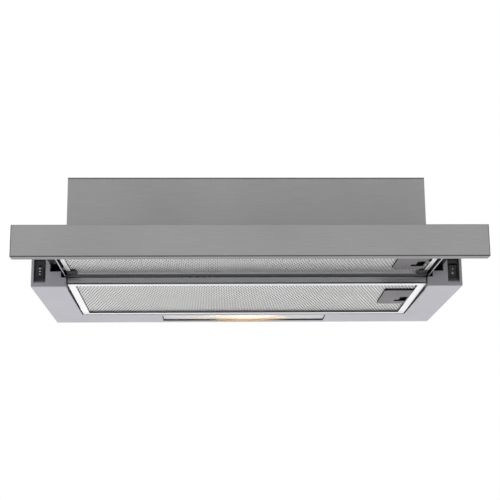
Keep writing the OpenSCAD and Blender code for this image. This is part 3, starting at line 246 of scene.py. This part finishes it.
def make_finishes():
    """The hood's finishes, by the record's slots."""
    f = {}
    # Stainless sheet, belt-brushed across the width: fine streaks along X, which spread what it
    # mirrors up and down. Real streaks are about 0.1 mm apart; drawn 0.6 mm wide so that they show.
    f["stainless_sheet"] = hood_finish(
        "brushed_stainless_steel", "#A8A8A8", "#C8C8C8", (0.46, 0.56), metal=1.0, size_mm=0.6,
        stretch=(45, 1, 1), relief_mm=0.004, detail=3, cloud_mm=160, across=(0, 0.7, 0.7),
        sockets={"Anisotropic": 0.75})
    # Steel sheet with silver powder coat: an even satin skin with the fine ripple of baked powder.
    f["painted_sheet"] = hood_finish(
        "silver_powder_coated_steel", "#ABA9B0", "#B7B5BC", (0.46, 0.58), metal=0.1, size_mm=1.4,
        relief_mm=0.012, cloud_mm=90)
    # Hot-dip galvanised sheet: soft grey with crystals of zinc about 7 mm across.
    f["galvanised_sheet"] = hood_finish(
        "galvanised_steel_sheet", "#A2A5A7", "#B6B9BB", (0.40, 0.54), metal=0.9, size_mm=7,
        cells=True, cloud_mm=70)
    # ABS moulded in a spark-eroded tool: matt grey with a fine sand texture.
    f["block_plastic"] = hood_finish(
        "grey_abs_fine_textured", "#8A8A90", "#96969C", (0.46, 0.58), size_mm=0.7,
        relief_mm=0.03, detail=4)
    # Cold-rolled steel under black enamel paint.
    f["black_steel"] = hood_finish(
        "black_painted_steel", "#09090B", "#111113", (0.32, 0.44), size_mm=1.1, relief_mm=0.01)
    # Zinc-plated steel with clear passivation: bright, slightly blue, a little smeared.
    f["zinc_steel"] = hood_finish(
        "zinc_plated_steel", "#B4B8BC", "#CFD3D6", (0.22, 0.40), metal=1.0, size_mm=2.2,
        cloud_mm=25)
    # Black glass-filled nylon, moulded: near black with a faint satin.
    f["black_plastic"] = hood_finish(
        "black_moulded_nylon", "#0F0F11", "#171719", (0.40, 0.52), size_mm=0.8, relief_mm=0.02)
    # Rolled aluminium section, satin anodised.
    f["filter_frame_metal"] = hood_finish(
        "satin_anodised_aluminium", "#DCDCDE", "#EAEAEC", (0.26, 0.38), metal=1.0, size_mm=0.6,
        relief_mm=0.004, cloud_mm=45)
    # Expanded aluminium, cut and stretched from sheet, in layers that shade each other; that shade
    # is painted into its colour.
    f["filter_mesh"] = packed_mesh("packed_expanded_aluminium", "#242426", "#9C9C9A")
    # Warm grey ABS of the catches, moulded smooth.
    f["catch_plastic"] = hood_finish(
        "warm_grey_abs", "#4B474B", "#545054", (0.40, 0.52), size_mm=0.9, relief_mm=0.015)
    # Pressed glass, frosted: passes the lamp's light and blurs it.
    f["lamp_glass"] = hood_finish(
        "frosted_pressed_glass", "#EEF0F2", "#FAFBFC", (0.30, 0.42), size_mm=1.2, relief_mm=0.01,
        sockets={"Transmission Weight": 0.5, "IOR": 1.5})
    # Opal glass candle bulb, lit warm white.
    f["bulb_glass"] = hood_finish(
        "lit_opal_glass", "#FFF1DA", "#FFF8EC", (0.20, 0.30), size_mm=3,
        sockets={"Emission Color": colour("#FFD08A"), "Emission Strength": 115.0})
    # Steatite ceramic of the bulb holder, glazed: warm white and glossy.
    f["lamp_ceramic"] = hood_finish(
        "glazed_steatite", "#E6DFD0", "#F0EADD", (0.16, 0.26), size_mm=4, relief_mm=0.02)
    # Polished aluminium sheet of the reflector: nearly a mirror, a little wavy.
    f["reflector_metal"] = hood_finish(
        "polished_aluminium_sheet", "#DDDDDB", "#EDEDEB", (0.10, 0.20), metal=1.0, size_mm=6)
    # Flame-retardant polypropylene of the blower's casing, moulded with a light grain.
    f["casing_plastic"] = hood_finish(
        "grey_flame_retardant_pp", "#5F646A", "#6B7076", (0.42, 0.56), size_mm=1.0, relief_mm=0.03)
    # Polypropylene of the impeller, moulded smooth: pale with a satin shine.
    f["fan_plastic"] = hood_finish(
        "white_moulded_pp", "#D5D6D4", "#E2E3E1", (0.34, 0.46), size_mm=1.2, relief_mm=0.01)
    # Stack of electrical steel sheets, 0.5 mm each, so the sides show fine level lines.
    f["laminations"] = hood_finish(
        "laminated_electrical_steel", "#4C4A48", "#8C8A86", (0.40, 0.60), metal=0.9, size_mm=0.5,
        stretch=(60, 60, 1), relief_mm=0.05)
    # Sintered bronze of the bushes: dull gold with fine pores.
    f["bush_bronze"] = hood_finish(
        "sintered_bronze", "#8A6A3C", "#A78450", (0.38, 0.54), metal=1.0, size_mm=0.4,
        relief_mm=0.02)
    # EPDM rubber of the mounts and the cable's grommet: black and matt.
    f["mount_rubber"] = hood_finish(
        "black_epdm_rubber", "#18181A", "#222224", (0.60, 0.78), size_mm=0.9, relief_mm=0.03)
    # White polypropylene of the capacitor's case, moulded smooth.
    f["white_plastic"] = hood_finish(
        "white_polypropylene", "#E2E2DE", "#EEEEEA", (0.34, 0.46), size_mm=1.4, relief_mm=0.01)
    # Polypropylene of the flaps in the duct's collar, moulded thin: mid grey, satin.
    f["flap_plastic"] = hood_finish(
        "grey_moulded_pp", "#8C9094", "#999DA1", (0.36, 0.50), size_mm=1.2, relief_mm=0.015)
    return f


def make_marked_finish(plastic):
    """Black knob whose raised marks, the parts nearest the front, are printed pale grey."""
    material = variant(plastic, "black_nylon_with_pale_marks")
    print_depth = 0.15 * MM
    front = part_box("speed_slider")[0].y + print_depth
    return painted_where(material, [((0, -1, 0), -front)], "#C4C4C6")


def make_rail_finish(steel):
    """Black painted rail whose bottom edge is the bare cut edge of the steel."""
    material = variant(steel, "black_painted_steel_bare_edge")
    bare_edge = 0.3 * MM
    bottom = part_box("left_drawer_rail")[0].z + bare_edge
    return painted_where(material, [((0, 0, -1), -bottom)], "#E6E6E6", metal=True)


def make_catch_finish(body, plastic):
    """Warm grey catch whose finger opening is painted dark inside, as painted shade."""
    origin, tilt = FILTERS[body][:2]
    material = variant(plastic, body + "_catch_warm_grey_abs_painted_shade")
    inwards = Matrix.Rotation(tilt, 3, "X") @ Vector((0, 0, 1))
    return painted_where(material, [(inwards, origin.dot(inwards) + CATCH_FACE)], "#0A0A0B")


def make_steel_finish(node, steel):
    """Brushed steel sheet with painted shade at its bends, darker round the panel's front and along
    the box's top, standing in for the dark that these bends mirror."""
    low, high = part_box(node)
    material = variant(steel, node + "_brushed_stainless_steel")
    if node == "box_wrap":
        return painted_where(material, [((0, 0, 1), high.z - BEND)], "#8A8A8C")
    front = ((0, -1, 0), -low.y - BEND)
    painted_where(material, [front, ((0, 0, -1), -low.z - BEND)], "#6E6E70")
    painted_where(material, [front, ((1, 0, 0), high.x - BEND)], "#808082")
    return painted_where(material, [front, ((-1, 0, 0), -low.x - BEND)], "#808082")


def make_block_finish(side, plastic):
    """Grey moulded block whose switch recess is painted dark inside, as painted shade. side is -1
    on the left, 1 right.
    """
    material = variant(plastic, ("left" if side < 0 else "right") + "_block_grey_abs_dark_recess")
    inner, outer, bottom, top, front = RECESS
    return painted_where(material, [((side, 0, 0), inner), ((-side, 0, 0), -outer),
                                    ((0, 0, 1), bottom), ((0, 0, -1), -top),
                                    ((0, 1, 0), front)], "#4E4E53")


def make_pan_finish(painted):
    """The silver painted pan, with painted shade on the sides of the filter's opening, where the
    gap shades them.
    """
    material = variant(painted, "silver_powder_coated_steel_painted_shade_opening")
    half, front, back = PAN_OPENING
    corner = 0.35 * MM      # rounded off the opening's edge, and painted dark with that shade too
    reach = half + corner
    return painted_where(material, [((1, 0, 0), -reach), ((-1, 0, 0), -reach),
                                    ((0, 1, 0), front), ((0, -1, 0), -back)], "#0C0C0E")


def make_fixed_frame_finish(aluminium):
    """The fixed filter's frame, with painted shade: its front lip is painted darker, with a band of
    painted shadow above its bottom, and the side of the rear bar that meets the mesh is painted
    dark."""
    material = variant(aluminium, "satin_anodised_aluminium_painted_shade_lip")
    origin, _, _, length, _, _ = FILTERS["fixed_filter"]
    lip, above = ((0, -1, 0), -origin.y - SKIN), ((0, 0, 1), origin.z + LIP_SHADOW_BAND[0])
    painted_where(material, [lip, above], "#C4C4C8")
    painted_where(material, [lip, above, ((0, 0, -1), -origin.z - LIP_SHADOW_BAND[1])], "#3A3A3C")
    inner, edge = origin.y + length - FILTER_BAR, 1.2 * MM
    return painted_where(material, [((0, 1, 0), inner - edge), ((0, -1, 0), -inner - SKIN)],
                         "#1C1C1E")


def make_gasket_finish(rubber):
    """Black rubber gasket of the lamp, painted amber next to the lit bulb: painted light of the
    bulb.
    """
    material = variant(rubber, "black_epdm_rubber_painted_bulb_glow")
    tree = material.node_tree
    low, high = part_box("lamp_bulb")
    centre = (low + high) / 2
    place = add(tree, "ShaderNodeTexCoord").outputs["Object"]
    across = add(tree, "ShaderNodeSeparateXYZ", {"Vector": place}).outputs["X"]
    off = add(tree, "ShaderNodeMath", {0: across, 1: centre.x}, operation="SUBTRACT").outputs[0]
    away = add(tree, "ShaderNodeMath", {0: off}, operation="ABSOLUTE").outputs[0]
    near = add(tree, "ShaderNodeMapRange",
               {"Value": away, "From Min": GLOW[0], "From Max": GLOW[1], "To Min": 1.0,
                "To Max": 0.0}, interpolation_type="SMOOTHSTEP").outputs[0]
    return recoloured(material, near, "#B58C50")


def node_finishes(f):
    """The finishes of the nodes that have one of their own."""
    own = {"speed_slider": make_marked_finish(f["black_plastic"]),
           "base_pan": make_pan_finish(f["painted_sheet"]),
           "left_end_block": make_block_finish(-1, f["block_plastic"]),
           "right_end_block": make_block_finish(1, f["block_plastic"]),
           "fixed_filter_frame": make_fixed_frame_finish(f["filter_frame_metal"])}
    for node in ("front_panel", "box_wrap"):
        own[node] = make_steel_finish(node, f["stainless_sheet"])
    own["left_drawer_rail"] = own["right_drawer_rail"] = make_rail_finish(f["black_steel"])
    for body in FILTERS:
        own[body + "_catch"] = make_catch_finish(body, f["catch_plastic"])
    # Dark grey paint, paler than that of the rails: lightened as painted light, to carry on the
    # fade of the shaded mesh.
    own["drawer_rear_bar"] = hood_finish(
        "dark_grey_painted_steel", "#58585B", "#626265", (0.36, 0.48), size_mm=1.1,
        relief_mm=0.01)
    return own


# ---- Pieces -------------------------------------------------------------------------------


def piece(name, bm, body, material, replaces=()):
    """Turns a bmesh into a finished piece of the hood that rides on a body."""
    mesh = bpy.data.meshes.new(name)
    bm.to_mesh(mesh)
    bm.free()
    mesh.materials.append(material)
    made = bpy.data.objects.new(name, mesh)
    bpy.context.scene.collection.objects.link(made)
    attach(made, body)
    if replaces:
        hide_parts(*replaces)
    return made


def whole_faces(bm):
    """Joins the triangles of each flat face, and leaves a face with a notch or hole in convex
    parts, which rounding can't fold over."""
    bmesh.ops.dissolve_limit(bm, angle_limit=FLAT_ANGLE, verts=bm.verts, edges=bm.edges)
    bmesh.ops.connect_verts_concave(bm, faces=bm.faces[:])


def merged_copy(node):
    """A copy of a CAD node's mesh with its loose triangles merged into whole faces."""
    bm = bmesh.new()
    bm.from_mesh(frame["nodes"][node].data)
    bmesh.ops.remove_doubles(bm, verts=bm.verts, dist=WELD)
    whole_faces(bm)
    return bm


def sharp_edges(bm):
    """Edges where two faces turn far enough to be rounded."""
    return [e for e in bm.edges if len(e.link_faces) == 2 and e.calc_face_angle(0) > EDGE_ANGLE]


def round_edges(bm, edges, width_mm, segments):
    """Rounds edges as a bend or a mould does."""
    bmesh.ops.bevel(bm, geom=edges, offset=width_mm * MM, offset_type="OFFSET", affect="EDGES",
                    segments=segments, profile=0.5, material=-1, clamp_overlap=True,
                    loop_slide=False)
    bmesh.ops.remove_doubles(bm, verts=bm.verts, dist=WELD)


def rounded(node, width_mm, front_mm, body, material):
    """A copy of a CAD node with its sharp edges rounded, those round its front face more."""
    bm = merged_copy(node)
    low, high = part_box(node)
    if front_mm:
        near = 0.05 * MM
        outline = [e for e in sharp_edges(bm) if all(v.co.y < low.y + near for v in e.verts)
                   and any(all(abs(v.co[axis] - end[axis]) < near for v in e.verts)
                           for axis in (0, 2) for end in (low, high))]
        round_edges(bm, outline, front_mm, 4)
        whole_faces(bm)
    round_edges(bm, sharp_edges(bm), width_mm, 2)
    made = piece(node + "_rounded", bm, body, material, [node])
    made.data.shade_smooth()
    made.data.set_sharp_from_angle(angle=SHADE_ANGLE)
    weighted = made.modifiers.new("flat_faces_stay_flat", "WEIGHTED_NORMAL")
    weighted.keep_sharp = True
    return made


def strand(first, last, phase):
    """One zigzag strand of expanded aluminium along Y, from one half diamond to another."""
    count = last - first
    swing = (DIAMOND_WIDE / 2 - STRAND_WIDE) / 2
    bm = bmesh.new()
    bmesh.ops.create_grid(bm, x_segments=1, y_segments=count, size=0.5)
    bmesh.ops.scale(bm, vec=(STRAND_WIDE, count, 1), verts=bm.verts)
    bmesh.ops.translate(bm, vec=(0, count / 2, 0), verts=bm.verts)
    for side in (-1, 1):
        edge = [v for v in bm.verts if v.co.x * side > 0]
        bmesh.ops.translate(bm, vec=(0, 0, side * STRAND_TWIST), verts=edge)
    for odd in (0, 1):
        crest = [v for v in bm.verts if (round(v.co.y) + first) % 2 == odd]
        bmesh.ops.translate(bm, vec=(swing * (1 if odd == phase else -1), 0, 0), verts=crest)
    bmesh.ops.scale(bm, vec=(1, DIAMOND_LONG / 2, 1), verts=bm.verts)
    bmesh.ops.solidify(bm, geom=bm.faces[:], thickness=STRAND_THICK)
    bmesh.ops.recalc_face_normals(bm, faces=bm.faces)
    mesh = bpy.data.meshes.new("strand")
    bm.to_mesh(mesh)
    bm.free()
    return mesh


def expanded_layer(name, body, depth, material):
    """One open layer of expanded aluminium across a filter, cut round its catch."""
    origin, tilt, width, length, _, (catch_x, catch_y) = FILTERS[body]
    half = DIAMOND_LONG / 2
    whole = int((length - 2 * FILTER_WALL) / half)
    y0 = (length - whole * half) / 2
    before = int((catch_y - y0) / half)
    behind = math.ceil((catch_y + CATCH_LONG - y0) / half)
    runs = {False: ((0, whole),), True: ((0, before), (behind, whole))}
    kinds = {(beside, phase): [(strand(a, b, phase), a) for a, b in runs[beside]]
             for beside in runs for phase in (0, 1)}
    count = int((width - 2 * FILTER_WALL - DIAMOND_WIDE) / (DIAMOND_WIDE / 2))
    bm = bmesh.new()
    for n in range(count):
        x = (n - (count - 1) / 2) * DIAMOND_WIDE / 2
        beside = catch_x - STRAND_WIDE < x < catch_x + CATCH_WIDE + STRAND_WIDE
        for mesh, first in kinds[beside, n % 2]:
            known = len(bm.verts)
            bm.from_mesh(mesh)
            bm.verts.ensure_lookup_table()
            bmesh.ops.translate(bm, vec=(x, y0 + first * half, depth), verts=bm.verts[known:])
    for made in kinds.values():
        for mesh, _ in made:
            bpy.data.meshes.remove(mesh)
    bm.transform(Matrix.Translation(origin) @ Matrix.Rotation(tilt, 4, "X"))
    return piece(name, bm, body, material)


def filter_core(body, material):
    """The packed, pleated core of a filter, drawn back from its faces to leave the open layers."""
    origin, tilt, _, _, height, _ = FILTERS[body]
    place = Matrix.Translation(origin) @ Matrix.Rotation(tilt, 4, "X")
    node = body + "_media"
    bm = merged_copy(node)
    bm.transform(place.inverted())
    bmesh.ops.translate(bm, vec=(0, 0, -height / 2), verts=bm.verts)
    highest = max(v.co.z for v in bm.verts)
    bmesh.ops.scale(bm, vec=(1, 1, (height / 2 - CORE_DEPTH) / highest), verts=bm.verts)
    bmesh.ops.translate(bm, vec=(0, 0, height / 2), verts=bm.verts)
    bm.transform(place)
    return piece(body + "_core", bm, body, material, [node])


def lamp_gasket(material):
    """Thin black strip that lines the lamp's opening, from the lens to the underside."""
    low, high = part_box("lamp_lens")
    wall, rim = 0.7 * MM, 2.3 * MM
    opening = 3.5 * MM       # how far the lens reaches under the rim on every side
    bm = bmesh.new()
    bmesh.ops.create_cube(bm, size=1)
    bmesh.ops.scale(bm, vec=(high.x - low.x - 2 * opening, high.y - low.y - 2 * opening, rim),
                    verts=bm.verts)
    ends = [f for f in bm.faces if abs(f.normal.z) > 0.9]
    bmesh.ops.delete(bm, geom=ends, context="FACES_ONLY")
    bmesh.ops.recalc_face_normals(bm, faces=bm.faces)
    bmesh.ops.solidify(bm, geom=bm.faces[:], thickness=wall)
    bmesh.ops.recalc_face_normals(bm, faces=bm.faces)
    centre = (low + high) / 2
    bmesh.ops.translate(bm, vec=(centre.x, centre.y, low.z - rim / 2), verts=bm.verts)
    return piece("lamp_gasket", bm, "chassis", material)


def ribbed_lens(material):
    """The lamp's lens: flat above, with fine ribs along X below, where the CAD lens is."""
    low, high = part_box("lamp_lens")
    rib_wide, rib_depth = 2 * MM, 0.2 * MM
    ribs = round((high.y - low.y) / rib_wide)
    bm = bmesh.new()
    bmesh.ops.create_grid(bm, x_segments=1, y_segments=2 * ribs, size=0.5)
    bmesh.ops.scale(bm, vec=(high.x - low.x, high.y - low.y, 1), verts=bm.verts)
    bmesh.ops.translate(bm, vec=((low.x + high.x) / 2, (low.y + high.y) / 2, low.z + rib_depth),
                        verts=bm.verts)
    crest = [v for v in bm.verts
             if round((v.co.y - low.y) / (high.y - low.y) * 2 * ribs) % 2]
    bmesh.ops.translate(bm, vec=(0, 0, -rib_depth), verts=crest)
    grown = bmesh.ops.extrude_face_region(bm, geom=bm.faces[:])
    top = [v for v in grown["geom"] if isinstance(v, bmesh.types.BMVert)]
    bmesh.ops.scale(bm, vec=(1, 1, 0), verts=top)
    bmesh.ops.translate(bm, vec=(0, 0, high.z), verts=top)
    bmesh.ops.recalc_face_normals(bm, faces=bm.faces)
    return piece("lamp_lens_ribbed", bm, "chassis", material, ["lamp_lens"])


def drawer_seal(material):
    """Dark strip under the drawer's rear bar, which closes the gap above the fixed filter."""
    low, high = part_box("drawer_rear_bar")
    drop, wide = 1.7 * MM, 2.4 * MM
    behind, short = 0.3 * MM, 2 * MM     # behind the bar's front, and short of its ends
    bm = bmesh.new()
    bmesh.ops.create_cube(bm, size=1)
    bmesh.ops.scale(bm, vec=(high.x - low.x - 2 * short, wide, drop), verts=bm.verts)
    bmesh.ops.translate(bm, vec=((low.x + high.x) / 2, low.y + wide / 2 + behind,
                                 low.z - drop / 2), verts=bm.verts)
    tip = [e for e in bm.edges if all(v.co.z < low.z - 0.9 * drop for v in e.verts)
           and abs(e.verts[0].co.x - e.verts[1].co.x) > drop]
    round_edges(bm, tip, 0.6, 4)
    return piece("drawer_seal_strip", bm, "drawer", material)


def rocker_face(share, up):
    """Where a mark lies on the rocker: share along the upper or lower face, turned to lie on it."""
    y, z = ROCKER_CORNER
    slope = math.atan2(y - ROCKER_VALLEY, z) * (1 if up else -1)
    centre = Vector((0, -ROCKER_VALLEY - share * (y - ROCKER_VALLEY),
                     share * z * (1 if up else -1)))
    return (Matrix.Translation(ROCKER_PIVOT) @ Matrix.Rotation(ROCKER_TILT, 4, "X")
            @ Matrix.Translation(centre) @ Matrix.Rotation(slope, 4, "X"))


def rocker_marks(material):
    """The bar of on and the ring of off, raised a little on the rocker's two faces."""
    raised = 0.16 * MM
    bar_wide, bar_long = 0.55 * MM, 2.6 * MM
    ring_inside, ring_outside = 0.95 * MM, 1.4 * MM
    bm = bmesh.new()
    bmesh.ops.create_cube(bm, size=1)
    bmesh.ops.scale(bm, vec=(bar_wide, 2 * raised, bar_long), verts=bm.verts)
    bmesh.ops.bevel(bm, geom=bm.edges[:], offset=0.08 * MM, affect="EDGES", segments=2,
                    profile=0.5, material=-1)
    bm.transform(rocker_face(MARK_SHARE, True))
    piece("rocker_on_mark", bm, "light_rocker", material)
    bm = bmesh.new()
    corners = [bm.verts.new((r, y, 0)) for r, y in
               ((ring_inside, -raised), (ring_outside, -raised),
                (ring_outside, raised), (ring_inside, raised))]
    section = bm.faces.new(corners)
    bmesh.ops.spin(bm, geom=[section, *section.edges, *corners], cent=(0, 0, 0), axis=(0, 1, 0),
                   angle=math.tau, steps=40, use_merge=True, use_duplicate=False)
    bmesh.ops.remove_doubles(bm, verts=bm.verts, dist=0.01 * MM)
    inside = [f for f in bm.faces if abs(f.normal.y) < 0.1 and len(f.verts) == 4
              and all(abs(v.co.z) < 1e-7 for v in f.verts)]
    bmesh.ops.delete(bm, geom=inside, context="FACES_ONLY")
    bmesh.ops.recalc_face_normals(bm, faces=bm.faces)
    bm.transform(rocker_face(MARK_SHARE, False))
    piece("rocker_off_mark", bm, "light_rocker", material)


# Width in millimetres of the rounding that each visible piece's edges get
EDGES = {
    "front_panel": 0.35, "box_wrap": 0.35, "box_top": 0.35, "box_back": 0.3, "base_pan": 0.3,
    "deck_plate": 0.25, "left_end_block": 0.4, "right_end_block": 0.4, "left_drawer_rail": 0.25,
    "right_drawer_rail": 0.25, "drawer_rear_bar": 0.4, "drawer_tray": 0.25,
    "drawer_crossbar": 0.3, "fixed_filter_frame": 0.25, "drawer_filter_frame": 0.25,
    "fixed_filter_catch": 0.25, "drawer_filter_catch": 0.25, "fixed_filter_latch": 0.3,
    "drawer_filter_latch": 0.3, "drawer_filter_corners": 0.15, "light_rocker": 0.25,
    "lamp_housing": 0.2, "outlet_spigot": 0.5, "left_flap": 0.3, "right_flap": 0.3,
    "terminal_box": 0.6, "capacitor": 1.0, "cable_grommet": 0.8,
    "left_slide_bracket": 0.25, "right_slide_bracket": 0.25, "left_fixed_slide": 0.25,
    "right_fixed_slide": 0.25, "speed_switch_body": 0.25, "light_switch_body": 0.25,
}

# The same round the front face of the folded sheets and moulded blocks
FRONT_EDGES = {"front_panel": 1.2, "box_wrap": 1.2, "left_end_block": 1.0, "right_end_block": 1.0}


def make_pieces():
    """Every CAD node gets its finish, and the visible ones their finer piece."""
    finishes = make_finishes()
    own = node_finishes(finishes)
    body_of = {n: b for b, ns in frame["record"]["behaviour"]["bodies"].items() for n in ns}
    for row in frame["record"]["subparts"]:
        node, slot = row["node"], row["material_slot"]
        finish = own.get(node, finishes[slot])
        for place in frame["nodes"][node].material_slots:
            place.material = finish
        if node in EDGES:
            rounded(node, EDGES[node], FRONT_EDGES.get(node), body_of[node], finish)
    # Open strands of expanded aluminium: bright, with soft glints.
    strands = hood_finish("expanded_aluminium_strand", "#EAEAE9", "#F4F4F3", (0.28, 0.42),
                          metal=0.8, size_mm=0.8, relief_mm=0.01)
    # The drawer's filter is thinner than the fixed one; its core is a lighter copy, painted light.
    painted_lighter_core = packed_mesh("packed_expanded_aluminium_painted_lighter", "#424244", "#D6D6D4")
    cores = {"fixed_filter": finishes["filter_mesh"], "drawer_filter": painted_lighter_core}
    for body in FILTERS:
        filter_core(body, cores[body])
        expanded_layer(body + "_mesh_below", body, LAYER_DEPTH, strands)
        expanded_layer(body + "_mesh_above", body, FILTERS[body][4] - LAYER_DEPTH, strands)
    ribbed_lens(finishes["lamp_glass"])
    lamp_gasket(make_gasket_finish(finishes["mount_rubber"]))
    # Dark grey felt, a little hairy, lightened a little as painted light, to carry on the fade of
    # the shaded mesh.
    drawer_seal(hood_finish("dark_grey_felt", "#48484B", "#565659", (0.7, 0.9), size_mm=0.5,
                            relief_mm=0.1, detail=4))
    rocker_marks(finishes["white_plastic"])


# ---- Studio -------------------------------------------------------------------------------


def make_camera():
    """The camera, at the photograph's place and lens."""
    pitch, yaw, roll = (math.radians(a) for a in (CAMERA_PITCH, CAMERA_YAW, CAMERA_ROLL))
    ahead = Vector((math.sin(yaw) * math.cos(pitch), math.cos(yaw) * math.cos(pitch),
                    math.sin(pitch)))
    level = Vector((math.cos(yaw), -math.sin(yaw), 0))
    down = ahead.cross(level)
    right = math.cos(roll) * level + math.sin(roll) * down
    low = -math.sin(roll) * level + math.cos(roll) * down
    lens = bpy.data.cameras.new("studio_camera")
    lens.lens, lens.sensor_width, lens.clip_start = LENS_MM, SENSOR_MM, LENS_NEAR
    camera = bpy.data.objects.new("studio_camera", lens)
    bpy.context.scene.collection.objects.link(camera)
    turned = Matrix((right, -low, -ahead)).transposed().to_4x4()
    camera.matrix_world = Matrix.Translation(CAMERA_PLACE) @ turned
    bpy.context.scene.camera = camera


def make_lamp(name, place, target, size, power):
    """A large soft lamp that points at a place on the hood."""
    lamp = bpy.data.lights.new(name, "AREA")
    lamp.shape, lamp.size, lamp.energy = "DISK", size, power
    made = bpy.data.objects.new(name, lamp)
    made.location = place
    made.rotation_euler = (Vector(target) - Vector(place)).to_track_quat("-Z", "Y").to_euler()
    made.visible_camera = False
    made.visible_glossy = False
    bpy.context.scene.collection.objects.link(made)


def make_world():
    """White for the camera and in glass. Metal mirrors a room that is grey in front, and a little
    brighter there away from the middle, white behind, dim at the sides and above, and darker
    below."""
    world = bpy.data.worlds.new("studio")
    bpy.context.scene.world = world
    world.use_nodes = True
    tree = world.node_tree
    tree.nodes.clear()
    way = add(tree, "ShaderNodeTexCoord").outputs["Generated"]
    parts = add(tree, "ShaderNodeSeparateXYZ", {"Vector": way}).outputs
    depth = parts["Y"]
    ends = add(tree, "ShaderNodeMapRange", {"Value": depth, "From Min": -1.0, "From Max": 1.0,
                                            "To Min": ROOM_FRONT, "To Max": ROOM_BACK}).outputs[0]
    wide = add(tree, "ShaderNodeMath", {0: parts["X"], 1: ROOM_CENTRE},
               operation="SUBTRACT").outputs[0]
    aside = add(tree, "ShaderNodeMath", {0: wide}, operation="ABSOLUTE").outputs[0]
    flare = add(tree, "ShaderNodeMapRange", {"Value": aside, "From Min": 0.0,
                                             "From Max": ROOM_SPREAD, "To Min": 1.0,
                                             "To Max": ROOM_WIDE}).outputs[0]
    ends = add(tree, "ShaderNodeMath", {0: ends, 1: flare}, operation="MULTIPLY").outputs[0]
    reach = add(tree, "ShaderNodeMath", {0: depth}, operation="ABSOLUTE").outputs[0]
    share = add(tree, "ShaderNodeMapRange",
                {"Value": reach, "From Min": ROOM_TURN[0], "From Max": ROOM_TURN[1]},
                interpolation_type="SMOOTHSTEP").outputs[0]
    rest = add(tree, "ShaderNodeMapRange",
               {"Value": parts["Z"], "From Min": ROOM_DROP[0], "From Max": ROOM_DROP[1],
                "To Min": ROOM_BELOW, "To Max": ROOM_SIDES}).outputs[0]
    room = add(tree, "ShaderNodeMix", {"Factor": share, 2: rest, 3: ends}).outputs[0]
    path = add(tree, "ShaderNodeLightPath")
    seen = add(tree, "ShaderNodeMath", {0: path.outputs["Is Camera Ray"],
                                        1: path.outputs["Is Transmission Ray"]},
               operation="MAXIMUM").outputs[0]
    soft = add(tree, "ShaderNodeMath", {0: ends, 1: ROOM_SOFT}, operation="MULTIPLY").outputs[0]
    lit = add(tree, "ShaderNodeMix", {"Factor": path.outputs["Is Glossy Ray"], 2: soft,
                                      3: room}).outputs[0]
    level = add(tree, "ShaderNodeMath", {0: lit, 1: seen}, operation="MAXIMUM").outputs[0]
    shine = add(tree, "ShaderNodeBackground", {"Color": (1, 1, 1, 1), "Strength": level})
    add(tree, "ShaderNodeOutputWorld", {"Surface": shine.outputs[0]})


def make_floor():
    """A plain pale floor far below the hood, which turns white with distance like the room."""
    bm = bmesh.new()
    bmesh.ops.create_circle(bm, cap_ends=True, segments=96, radius=FLOOR_RADIUS)
    bmesh.ops.translate(bm, vec=(0, 0, FLOOR_HEIGHT), verts=bm.verts)
    mesh = bpy.data.meshes.new("studio_floor")
    bm.to_mesh(mesh)
    bm.free()
    material = hood_finish("matt_studio_floor", "#EDEDED", "#F2F2F2", (0.8, 0.9), size_mm=400)
    tree = material.node_tree
    place = add(tree, "ShaderNodeTexCoord").outputs["Object"]
    away = add(tree, "ShaderNodeVectorMath", {0: place}, operation="LENGTH").outputs["Value"]
    far = add(tree, "ShaderNodeMapRange",
              {"Value": away, "From Min": FLOOR_FADE[0], "From Max": FLOOR_FADE[1]},
              interpolation_type="SMOOTHSTEP").outputs[0]
    seen = add(tree, "ShaderNodeMath",
               {0: far, 1: add(tree, "ShaderNodeLightPath").outputs["Is Camera Ray"]},
               operation="MULTIPLY").outputs[0]
    white = add(tree, "ShaderNodeEmission", {"Color": (1, 1, 1, 1), "Strength": 1.0}).outputs[0]
    both = add(tree, "ShaderNodeMixShader",
               {0: seen, 1: tree.nodes["Principled BSDF"].outputs[0], 2: white}).outputs[0]
    tree.links.new(both, tree.nodes["Material Output"].inputs["Surface"])
    mesh.materials.append(material)
    floor = bpy.data.objects.new("studio_floor", mesh)
    floor.visible_glossy = False
    bpy.context.scene.collection.objects.link(floor)


def make_studio():
    """Camera, lamps, room and floor."""
    make_camera()
    make_world()
    make_floor()
    for name, values in LAMPS.items():
        make_lamp(name, *values)
    bpy.context.scene.view_settings.view_transform = "Standard"


make_pieces()
make_studio()
